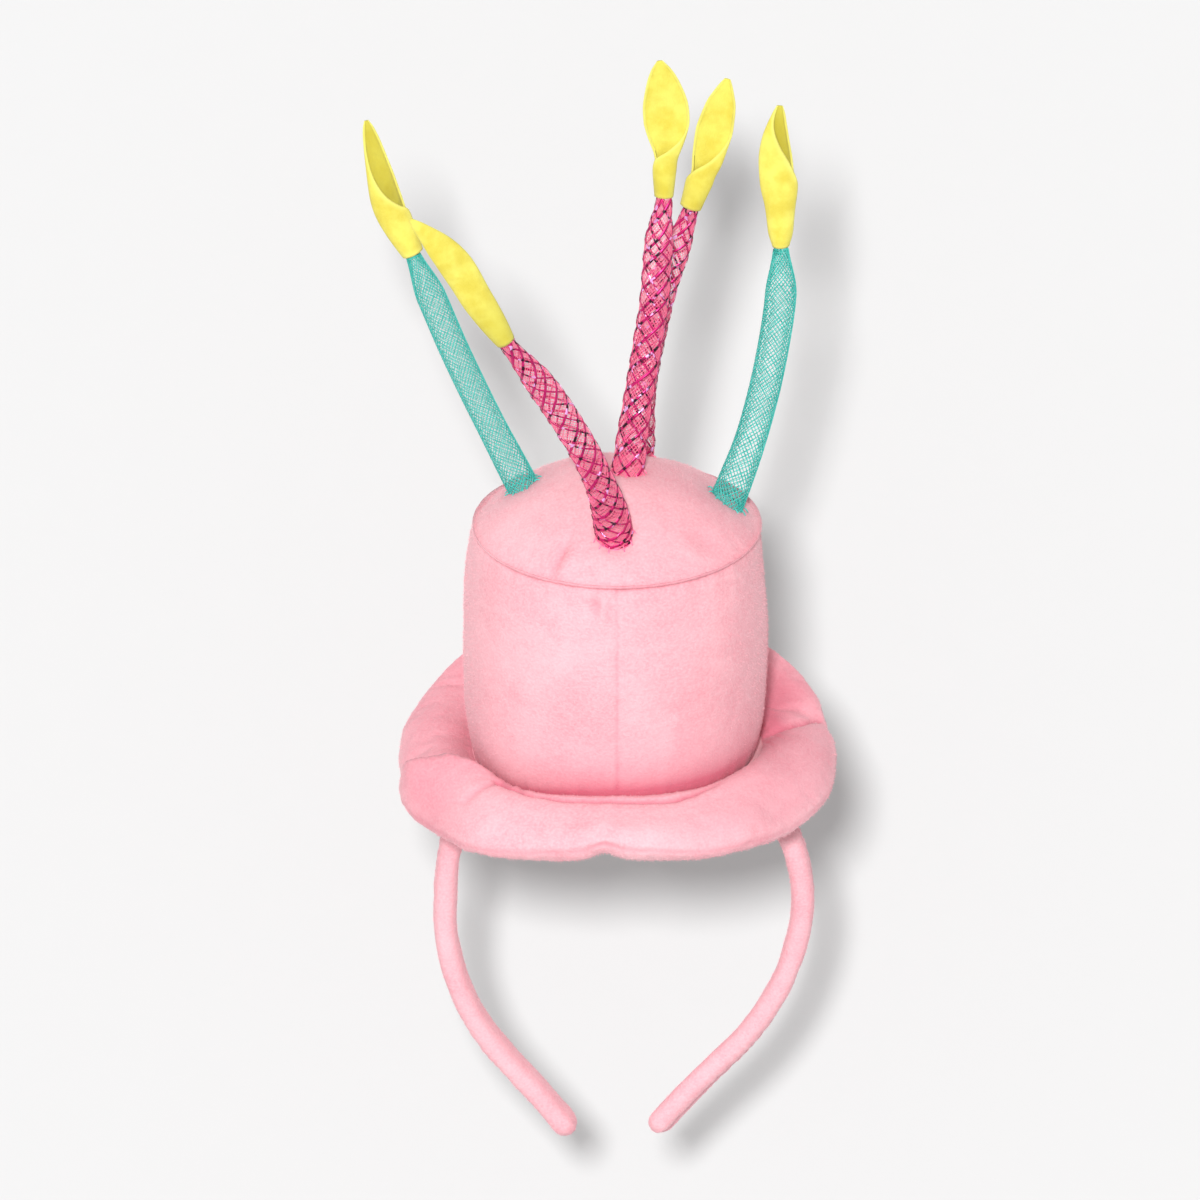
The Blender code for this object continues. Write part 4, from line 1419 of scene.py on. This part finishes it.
@dataclass
class Candle:
    """A tube of woven net with a rolled felt flame in its top.

    A flame's rows say, from neck to tip: share of its length, width, depth, and the two
    directions between which the felt lies, in degrees from the back, rising to the right.
    """

    name: str
    net: Slot
    line: tuple
    flame: tuple
    radius: float
    foot_radius: float
    rows: tuple
    strands: int = 22
    yarn: float = 0.13
    crowding: float = 0.0
    tinsel: int = 0
    turn_over: float = 1.0
    neck: float = 2.55
    taper_length: float = 21.0
    flare_length: float = 30.0
    felt: float = 1.0
    # How much painted shade lies on the leaf's inner face, and how much darker the felt grows towards
    # its neck.
    inner_painted_shade: float = 0.08
    base_tone: float = 0.33
    short: float = 1.5
    into_roll: float = 6.0
    helix: float = 40.0
    crowd_reach: float = 10.0
    bend_length: float = 16.0
    tinsel_lift: float = 0.24
    tinsel_out: float = 0.09
    tinsel_broad: float = 0.72
    tinsel_narrow: float = 0.42
    cord: float = 0.42
    stitches: int = 11

    @property
    def body(self) -> str:
        """The CAD body that the candle sways with."""
        return f"{self.name}_candle"

    def whole(self) -> tuple[Line, float]:
        """The line through tube and flame, and how far along it the felt starts."""
        line = Line([*self.line, *self.flame])
        return line, line.where(self.flame[0])

    def tube_radius(self, run: Array, neck_at: float) -> Array:
        """Radius of the net at that distance from the dome.

        Args:
            run: Distances from the dome, in millimetres.
            neck_at: Where the felt leaf starts, on the same scale.

        Returns:
            The radii, in millimetres.
        """
        flare = (self.foot_radius - self.radius) * (1 - smooth(run / self.flare_length))
        taper = smooth((neck_at - run) / self.taper_length)
        inside = smooth((run - neck_at + 0.8) / 2.4)
        return self.neck + (self.radius - self.neck) * taper + flare - 0.95 * inside

    def on_tube(self, crown: Crown, run: Array, angle: Array, offset: Array) -> tuple[Array, Array]:
        """Points on the net, whose foot follows the dome.

        Args:
            crown: The crown that the foot stands on.
            run: Distances from the dome, (rows,).
            angle: Directions round the tube, (strands, rows).
            offset: How far outside the net each point lies, of the same shape.

        Returns:
            The points and their outward directions, (strands, rows, 3).
        """
        line, neck_at = self.whole()
        middle, way = line.at(run), line.ways(run)
        side = unit(np.cross((0.0, 1.0, 0.0), way))
        depth = np.cross(way, side)
        outward = np.cos(angle)[..., None] * side + np.sin(angle)[..., None] * depth
        radius = self.tube_radius(run, neck_at)[None, :] + offset
        place = middle + radius[..., None] * outward
        foot = place - way * run[:, None]
        slid = foot.copy()
        for _ in range(6):
            away = np.hypot(slid[..., 0], slid[..., 1])
            miss = slid[..., 2] - crown.dome(away) + 0.9
            fall = 2 * crown.rise / crown.seam_radius**2 \
                * (slid[..., 0] * way[:, 0] + slid[..., 1] * way[:, 1])
            slid = slid - way * (miss / (way[:, 2] + fall))[..., None]
        slant = ((slid - foot) * way).sum(-1)
        place = place + way * (slant * (1 - smooth(run / self.flare_length)))[..., None]
        return place, outward

    def weave(self, crown: Crown, count: int, lift: float, out: float, across: float,
              seed: int = 0) -> dict:
        """Helical strands that run both ways round the tube.

        Args:
            crown: The crown that the foot stands on.
            count: Strands each way.
            lift: How far outside the net the strands lie.
            out: Half a strand's thickness.
            across: Half a strand's width.
            seed: Seeds the small unevenness.

        Returns:
            What Mesher.strands needs.
        """
        random = np.random.default_rng(seed + sum(map(ord, self.name)))
        _, neck_at = self.whole()
        run = np.linspace(0.0, neck_at + self.into_roll, 76)
        rate = math.tan(math.radians(self.helix)) / self.radius
        near = self.crowding * self.crowd_reach * (1 - np.exp(-run / self.crowd_reach))
        turn = rate * (run + near)
        angles, lifts = [], []
        for sign in (1, -1):
            for k in range(count):
                jitter = random.normal(0, 0.05) / count * TURN
                wander = 0.10 / count * TURN * np.sin(run * random.uniform(0.1, 0.3)
                                                      + random.uniform(0, TURN))
                angles.append(k / count * TURN + jitter + sign * turn + wander)
                lifts.append(np.full(len(run), lift + sign * out * 0.9))
        angle, offset = np.array(angles), np.array(lifts)
        fray = random.uniform(-0.1, 0.4, (len(angle), 1)) * np.exp(-run / 1.5)[None, :]
        tuck = np.exp(-(run / 1.1) ** 2)[None, :]
        offset = offset - 0.7 * tuck + 0.2 * fray
        paths, normals = self.on_tube(crown, run, angle, offset)
        line, _ = self.whole()
        paths = paths - line.ways(run)[None] * (fray * 0.8)[..., None]
        lots = random.uniform(0, 1, len(angle))
        return {"paths": paths, "normals": normals, "out": np.full(len(angle), out),
                "across": np.full(len(angle), across), "lots": lots}

    def build_net(self, crown: Crown) -> Piece:
        """The woven tube."""
        woven = self.weave(crown, self.strands, 0.0, self.yarn, self.yarn * 1.15)
        return Mesher.strands(f"candle_net_{self.name}", sides=4, **woven)

    def build_tinsel(self, crown: Crown) -> Piece:
        """The flat metallic threads among the pink yarn: broad one way, narrow the other.

        Args:
            crown: The crown that the candle stands on.

        Returns:
            The piece.
        """
        woven = self.weave(crown, self.tinsel, self.tinsel_lift, self.tinsel_out,
                           self.tinsel_narrow, seed=7)
        half = self.tinsel
        woven["across"][:half] = self.tinsel_broad
        woven["paths"][:half] += woven["normals"][:half] * 0.10
        return Mesher.strands(f"candle_tinsel_{self.name}", sides=4, **woven)

    def build_hem(self, crown: Crown) -> Piece:
        """The end of the net turned in at the foot, with the cord that draws it together.

        Args:
            crown: The crown that the candle stands on.

        Returns:
            The piece.
        """
        random = np.random.default_rng(len(self.name))
        count = self.strands
        run = np.linspace(0.2, 4.4, 9)
        rate = math.tan(math.radians(self.helix)) / self.radius
        start = (np.arange(count) + 0.5) / count * TURN
        angle = np.concatenate([start[:, None] + rate * run, start[:, None] - rate * run])
        angle = angle + random.normal(0, 0.03, (len(angle), 1))
        paths, normals = self.on_tube(crown, run, angle, np.full_like(angle, -0.55))
        circle = np.linspace(0, TURN, len(run) * 4)[None, :]
        low = np.full(circle.shape[1], 0.35)
        cord, cord_out = self.on_tube(crown, low, circle, np.full_like(circle, 0.05))
        pieces = []
        for k in range(4):
            part = slice(k * len(run), min((k + 1) * len(run) + 1, circle.shape[1]))
            keys = np.linspace(part.start, part.stop - 1, len(run))
            whole = np.arange(circle.shape[1])
            pieces.append([np.stack([np.interp(keys, whole, c) for c in np.moveaxis(a[0], -1, 0)], -1)
                           for a in (cord, cord_out)])
        paths = np.concatenate([paths, np.array([p for p, _ in pieces])])
        normals = np.concatenate([normals, np.array([n for _, n in pieces])])
        size = np.concatenate([np.full(2 * count, self.yarn), np.full(4, self.cord)])
        lots = random.uniform(0, 0.7, len(paths))
        return Mesher.strands(f"candle_hem_{self.name}", paths, normals, size, size, 5, lots)

    def flame_frame(self) -> tuple[Array, Array, Array, Array]:
        """The flame's line, from neck to tip, with its forward and right directions.

        Returns:
            The share of the way, the line's points and the two directions there.
        """
        line, neck_at = self.whole()
        share = np.linspace(0, 1, 64)
        run = neck_at + share * (line.length - self.short - neck_at)
        middle, way = line.at(run), line.ways(run)
        tilt = math.radians(VIEW_TILT)
        view = np.array((0.0, -math.cos(tilt), math.sin(tilt)))
        front = unit(view - way * (way @ view)[:, None])
        return share, middle, front, np.cross(way, front)

    def build_flame(self) -> tuple[Piece, tuple[float, float], float]:
        """The felt leaf: rolled at the neck, open or folded above.

        Returns:
            The piece, then the leaf's width and length when unrolled and its area, in metres.
        """
        share, middle, front, right = self.flame_frame()
        table = Line(self.rows)
        key = np.maximum.accumulate(table.points[:, 0])
        _, width, depth, start, end = table.read(key, share).T
        psi = start[:, None] + (end - start)[:, None] * np.linspace(0, 1, 44)[None, :]
        psi = np.radians(psi)
        swept = (psi - psi[:, :1]) / TURN
        overlap = smooth((np.degrees(psi[:, -1:] - psi[:, :1]) - 190.0) / 90.0)
        grow = swept * overlap * self.felt * 1.25
        a = width[:, None] / 2 - self.felt / 2 + grow - 0.25 * overlap
        flat = 1 - 0.3 * smooth(share / 0.25)[:, None]
        b = (depth[:, None] / 2 - self.felt / 2 + grow) * flat
        a, b = np.maximum(a, 0.35), np.maximum(b, 0.35)
        x, y = a * np.sin(psi), -b * np.cos(psi)
        nx, ny = b * np.sin(psi), -a * np.cos(psi)
        size = np.maximum(np.hypot(nx, ny), 1e-6)
        nx, ny = nx / size * self.turn_over, ny / size
        x = x * self.turn_over
        half = self.felt / 2 * (0.55 + 0.45 * smooth((1 - share) / 0.06))[:, None]

        def face(offset: float) -> Array:
            """The leaf's surface, from -1 on its inner face to 1 on its outer one.

            Args:
                offset: The place in the felt's thickness.

            Returns:
                The points, (rows, columns, 3), in millimetres.
            """
            across, forward = x + nx * half * offset, y + ny * half * offset
            return (middle[:, None] + right[:, None] * across[..., None]
                    + front[:, None] * forward[..., None])

        outer, inner, core = face(1.0), face(-1.0), face(0.0)
        edge_a = core[:, :1] + unit(core[:, :1] - core[:, 1:2]) * half[..., None] * 0.8
        edge_b = core[:, -1:] + unit(core[:, -1:] - core[:, -2:-1]) * half[..., None] * 0.8
        loops = np.concatenate([outer, edge_b, inner[:, ::-1], edge_a], axis=1)
        if self.turn_over > 0:
            loops = loops[:, ::-1]
        wave = lumps(loops, 13.0, 3.3 + len(self.name))
        loops = loops + front[:, None] * (wave * 0.5 * smooth(share[:, None] / 0.3))[..., None]
        columns = loops.shape[1]
        # The rim mark is a painted highlight along the leaf's cut edges and round its lowest row.
        rim = np.zeros((len(share), columns))
        count = outer.shape[1]
        place = np.concatenate([np.arange(count), [count], np.arange(count)[::-1], [-1]])
        from_edge = np.minimum(np.abs(place), np.abs(count - 1 - place))
        rim[:] = hill(from_edge, 2.0)[None, :]
        if self.turn_over > 0:
            rim = rim[:, ::-1]
        rim = np.maximum(rim, hill(share[:, None] * 50, 0.8))
        # Painted shade on the inner face, fading a little towards the tip; the felt also darkens towards
        # the neck.
        inner = np.tile(np.concatenate([np.zeros(count + 1), np.ones(count), np.zeros(1)]), (64, 1))
        inner = inner[:, ::-1] if self.turn_over > 0 else inner
        inner = inner * self.inner_painted_shade * smooth(1.15 - 0.3 * share)[:, None]
        base = self.base_tone * smooth((0.42 - share) / 0.4)[:, None] * (1 - inner)
        piece = Mesher.skin(f"candle_flame_{self.name}", loops,
                            {"rim": rim * (1 - inner), "inner": np.clip(inner + base, 0, 1)})
        widths = np.linalg.norm(np.diff(core, axis=1), axis=-1).sum(1)
        steps = np.linalg.norm(np.diff(middle, axis=0), axis=-1)
        area = ((widths[1:] + widths[:-1]) / 2 * steps).sum()
        return piece, (float(widths.max()) * MM, float(steps.sum()) * MM), float(area) * MM**2

    def build_stitches(self, crown: Crown) -> Piece:
        """Short stitches that hold the tube's foot on the dome.

        Args:
            crown: The crown that the candle stands on.

        Returns:
            The piece.
        """
        random = np.random.default_rng(sum(map(ord, self.name)))
        count = self.stitches
        angle = (np.arange(count) + random.uniform(-0.25, 0.25, count)) / count * TURN
        reach = np.linspace(-0.9, 1.3, 7)
        foot = np.array(self.line[0])
        paths, normals = [], []
        for a in angle:
            out = np.array((math.cos(a), math.sin(a), 0.0))
            slip = np.array((-math.sin(a), math.cos(a), 0.0)) * random.uniform(-0.5, 0.5)
            place = foot + out * (self.foot_radius + reach)[:, None] + slip * reach[:, None]
            away = np.hypot(place[:, 0], place[:, 1])
            place[:, 2] = crown.dome(away) - 0.25 + 1.0 * (1 - (reach / 1.3) ** 2)
            paths.append(place)
            normals.append(np.broadcast_to((0.0, 0.0, 1.0), place.shape))
        size = np.full(count, 0.24)
        return Mesher.strands(f"candle_stitches_{self.name}", np.array(paths), np.array(normals),
                              size, size, 6, random.uniform(0, 1, count))

    def build(self, crown: Crown, wardrobe: Wardrobe) -> None:
        """Make the candle's pieces.

        Args:
            crown: The crown that the candle stands on.
            wardrobe: The hat's materials.
        """
        line, _ = self.whole()
        start, end = line.points[0], line.at(np.array([self.bend_length]))[0]
        net = finished(self.build_net(crown), wardrobe.net[self.net])
        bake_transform(net)
        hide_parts(f"candle_tube_{self.name}")
        hem = finished(self.build_hem(crown), wardrobe.net[self.net])
        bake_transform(hem)
        if self.tinsel:
            tinsel = finished(self.build_tinsel(crown), wardrobe.tinsel)
            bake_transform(tinsel)
        leaf, cut, area = self.build_flame()
        flame = finished(leaf, wardrobe.felt)
        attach(flame, self.body)
        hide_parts(f"flame_{self.name}")
        stitches = finished(self.build_stitches(crown), wardrobe.net[self.net])
        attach(stitches, "hat")
        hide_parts(f"foot_stitch_{self.name}")


def candles() -> list[Candle]:
    """The five candles, from left to right.

    Returns:
        The candles, with their lines, sizes and leaves in millimetres.
    """
    return [
        Candle(
            "left", Slot.TEAL_NET,
            line=((-34.5, 9.5, 120.0), (-48.1, 10.5, 148.7), (-59.1, 12.0, 173.3),
                  (-67.2, 13.0, 193.6), (-74.3, 14.0, 211.0)),
            flame=((-74.9, 14.0, 212.5), (-82.2, 15.0, 228.3), (-86.6, 15.5, 244.3),
                   (-91.8, 17.0, 266.0)),
            radius=5.3, foot_radius=5.8, turn_over=-1.0, inner_painted_shade=0.62, base_tone=0.05,
            rows=((0.0, 6.8, 5.6, -95, 262), (0.1, 8.6, 6.0, -95, 262), (0.21, 10.2, 6.6, -92, 262),
                  (0.30, 11.2, 7.4, -90, 252), (0.36, 11.6, 7.6, -90, 215),
                  (0.45, 11.4, 7.4, -90, 180), (0.58, 10.2, 6.4, -90, 146),
                  (0.70, 8.6, 5.2, -90, 122), (0.85, 6.3, 3.8, -90, 100), (0.95, 4.0, 2.6, -88, 92),
                  (1.0, 2.2, 1.6, -85, 88)),
        ),
        Candle(
            "front", Slot.PINK_NET,
            line=((-1.1, -33.0, 122.0), (-4.0, -35.5, 136.4), (-10.6, -39.0, 154.9),
                  (-20.8, -44.0, 176.1), (-30.2, -49.0, 192.8), (-38.9, -54.0, 206.7)),
            flame=((-40.4, -55.0, 210.1), (-50.3, -57.0, 227.3), (-60.6, -59.0, 245.1),
                   (-76.0, -61.0, 262.8)),
            radius=5.2, foot_radius=6.8, taper_length=29.0, strands=24, yarn=0.095, tinsel=5,
            crowding=1.9, base_tone=0.5,
            rows=((0.0, 6.6, 5.6, 15, 375), (0.1, 8.6, 6.0, 20, 372), (0.25, 10.6, 6.4, 45, 345),
                  (0.45, 12.0, 6.4, 75, 300), (0.6, 12.3, 5.6, 88, 280), (0.75, 10.2, 4.6, 90, 270),
                  (0.9, 5.6, 3.0, 92, 268), (1.0, 1.8, 1.6, 95, 265)),
        ),
        Candle(
            "centre", Slot.PINK_NET,
            line=((4.0, 1.5, 131.0), (6.8, 6.0, 150.9), (10.3, 11.0, 171.8), (13.6, 15.5, 192.4),
                  (15.4, 19.5, 216.2), (17.2, 21.5, 229.9)),
            flame=((17.4, 22.0, 231.8), (17.6, 23.5, 244.5), (18.0, 26.0, 261.6),
                   (15.4, 29.0, 284.6)),
            radius=5.1, foot_radius=5.7, strands=24, yarn=0.095, tinsel=5,
            rows=((0.0, 5.6, 5.4, -90, 270), (0.1, 6.6, 5.2, -90, 268), (0.2, 7.6, 4.8, -90, 258),
                  (0.27, 8.3, 4.8, -90, 232), (0.33, 10.0, 5.0, -90, 176),
                  (0.42, 13.6, 5.0, -90, 124), (0.5, 16.0, 5.0, -90, 98), (0.56, 16.9, 4.8, -90, 90),
                  (0.69, 16.3, 4.2, -90, 90), (0.84, 11.9, 3.4, -90, 90), (0.93, 7.6, 2.6, -88, 88),
                  (1.0, 2.6, 1.8, -85, 85)),
        ),
        Candle(
            "back", Slot.PINK_NET,
            line=((7.5, 34.0, 121.0), (9.2, 34.5, 148.1), (13.6, 35.0, 173.6), (17.6, 35.5, 190.9),
                  (22.8, 36.5, 206.7), (26.4, 37.0, 217.4)),
            flame=((27.2, 37.0, 220.3), (31.6, 38.0, 234.5), (36.3, 40.0, 252.8),
                   (40.7, 42.0, 271.0)),
            radius=4.9, foot_radius=6.0, strands=24, yarn=0.095, tinsel=5,
            rows=((0.0, 6.6, 5.5, -90, 270), (0.1, 7.6, 5.4, -90, 268), (0.2, 8.8, 5.2, -90, 256),
                  (0.27, 9.1, 5.0, -90, 222), (0.36, 11.1, 5.2, -90, 172),
                  (0.45, 12.3, 5.2, -90, 138), (0.55, 13.3, 5.0, -90, 106), (0.63, 13.4, 4.6, -90, 90),
                  (0.8, 11.0, 3.8, -90, 90), (0.9, 7.4, 3.0, -88, 88), (1.0, 2.8, 1.8, -85, 85)),
        ),
        Candle(
            "right", Slot.TEAL_NET,
            line=((40.5, 4.0, 116.9), (48.1, 5.5, 138.6), (53.6, 7.0, 159.4), (57.6, 8.0, 180.6),
                  (59.8, 9.0, 198.5), (59.8, 10.0, 215.6)),
            flame=((59.5, 10.0, 217.6), (59.1, 11.0, 236.2), (58.0, 12.5, 255.9),
                   (59.5, 14.0, 273.6)),
            radius=5.6, foot_radius=6.3, yarn=0.145, turn_over=-1.0, inner_painted_shade=0.7,
            base_tone=0.02,
            rows=((0.0, 5.0, 5.2, -95, 262), (0.09, 7.7, 5.6, -95, 262), (0.19, 8.8, 5.4, -92, 266),
                  (0.29, 10.1, 5.2, -90, 268), (0.42, 12.4, 5.2, -90, 266), (0.54, 12.6, 5.2, -90, 234),
                  (0.65, 12.0, 5.0, -90, 208), (0.78, 9.6, 4.6, -90, 176), (0.88, 6.8, 3.8, -90, 146),
                  (0.95, 4.6, 2.8, -88, 125), (1.0, 2.8, 1.8, -85, 112)),
        ),
    ]


# ---------------------------------------------------------------- studio


@dataclass
class Studio:
    """A pale ground that faces the camera, soft light and the camera."""

    target: tuple = (-6.24, 22.2, 67.5)
    frame_width: float = 440.4
    lens: float = 1200.0
    sensor: float = 36.0
    floor_depth: float = 230.0
    floor_size: float = 6000.0
    floor_tone: float = 0.578
    key_strength: float = 3.0
    key_softness: float = 5.0
    sky: float = 0.42
    sky_slope: float = 0.40
    seen_sky: float = 0.913
    bright_way: tuple = (-0.24, -0.81, 0.43)
    key_aside: tuple = (-0.05, 0.0, 0.0)
    key_above: float = 0.06

    def axes(self) -> tuple[Vector, Vector]:
        """The direction towards the camera, and the picture's up."""
        a = math.radians(VIEW_TILT)
        return Vector((0, -math.cos(a), math.sin(a))), Vector((0, math.sin(a), math.cos(a)))

    def build_camera(self) -> None:
        """A long lens, so that the near and far candles keep their true sizes."""
        towards, _ = self.axes()
        data = bpy.data.cameras.new("camera")
        data.lens, data.sensor_width = self.lens, self.sensor
        distance = self.frame_width * self.lens / self.sensor * MM
        data.clip_start, data.clip_end = distance * 0.2, distance * 3
        camera = bpy.data.objects.new("camera", data)
        camera.location = Vector(self.target) * MM + towards * distance
        camera.rotation_mode = "QUATERNION"
        camera.rotation_quaternion = (-towards).to_track_quat("-Z", "Y")
        bpy.context.scene.collection.objects.link(camera)
        bpy.context.scene.camera = camera

    def build_floor(self) -> None:
        """The ground behind the headband, square to the view and clear from its other side."""
        towards, _ = self.axes()
        half = self.floor_size / 2
        corners = np.array([(-half, -half, 0), (half, -half, 0), (half, half, 0), (-half, half, 0)])
        floor = Mesher.link("floor", corners, [[0, 1, 2, 3]])
        floor.rotation_mode = "QUATERNION"
        floor.rotation_quaternion = towards.to_track_quat("Z", "Y")
        floor.location = -towards * self.floor_depth * MM
        made, t, shader = new_material("pale_floor")
        place = t.add("TexCoord").outputs["Object"]
        grain = t.add("TexNoise", {"Vector": place, "Scale": 60.0, "Detail": 2.0})
        low, high = (tuple([self.floor_tone * k] * 3 + [1.0]) for k in (0.996, 1.004))
        t.feed(t.blend(grain.outputs[0], low, high), shader.inputs["Base Color"])
        fix(shader, {"Roughness": 0.95, "Specular IOR Level": 0.0})
        clear = t.add("BsdfTransparent")
        back = t.add("NewGeometry").outputs["Backfacing"]
        mixed = t.add("MixShader", {0: back, 1: shader.outputs[0], 2: clear.outputs[0]})
        t.feed(mixed.outputs[0], made.node_tree.nodes["Material Output"].inputs["Surface"])
        floor.data.materials.append(made)

    def build_light(self) -> None:
        """A soft key just above and left of the camera, and a white sky, brighter in front."""
        towards, up = self.axes()
        source = (towards + Vector(self.key_aside) + up * self.key_above).normalized()
        data = bpy.data.lights.new("key", "SUN")
        data.energy, data.angle = self.key_strength, math.radians(self.key_softness)
        key = bpy.data.objects.new("key", data)
        key.rotation_mode = "QUATERNION"
        key.rotation_quaternion = source.to_track_quat("Z", "Y")
        bpy.context.scene.collection.objects.link(key)
        world = bpy.data.worlds.new("sky")
        world.use_nodes = True
        t = Tree(world.node_tree)
        lit = world.node_tree.nodes["Background"]
        lit.inputs[0].default_value = (1.0, 1.0, 1.0, 1.0)
        ray = t.add("TexCoord").outputs["Generated"]
        high = t.add("VectorMath", {0: ray, 1: self.bright_way}, operation="DOT_PRODUCT")
        strength = t.add("Math", {0: high.outputs["Value"], 1: self.sky_slope, 2: self.sky},
                         operation="MULTIPLY_ADD")
        t.feed(strength.outputs[0], lit.inputs[1])
        seen = t.add("Background", {0: (1.0, 1.0, 1.0, 1.0), 1: self.seen_sky})
        camera = t.add("LightPath").outputs["Is Camera Ray"]
        both = t.add("MixShader", {0: camera, 1: lit.outputs[0], 2: seen.outputs[0]})
        t.feed(both.outputs[0], world.node_tree.nodes["World Output"].inputs["Surface"])
        bpy.context.scene.world = world

    def build(self) -> None:
        """Set the stage."""
        bpy.context.scene.view_settings.view_transform = "Standard"
        self.build_camera()
        self.build_floor()
        self.build_light()
        LOG.info("studio: floor %.0f mm behind the hoop's top", self.floor_depth)


def main() -> None:
    """Build the headband's looks in order."""
    logging.basicConfig(level=logging.INFO, format="%(name)s: %(message)s")
    Studio().build()
    wardrobe = Wardrobe()
    five = candles()
    crown = Crown(feet=[candle.line[0][:2] for candle in five])
    stuffer = Stuffer()
    crown.build(wardrobe, stuffer)
    Brim().build(wardrobe, stuffer)
    Band().build(wardrobe)
    for candle in five:
        candle.build(crown, wardrobe)


if __name__ == "__main__":
    main()
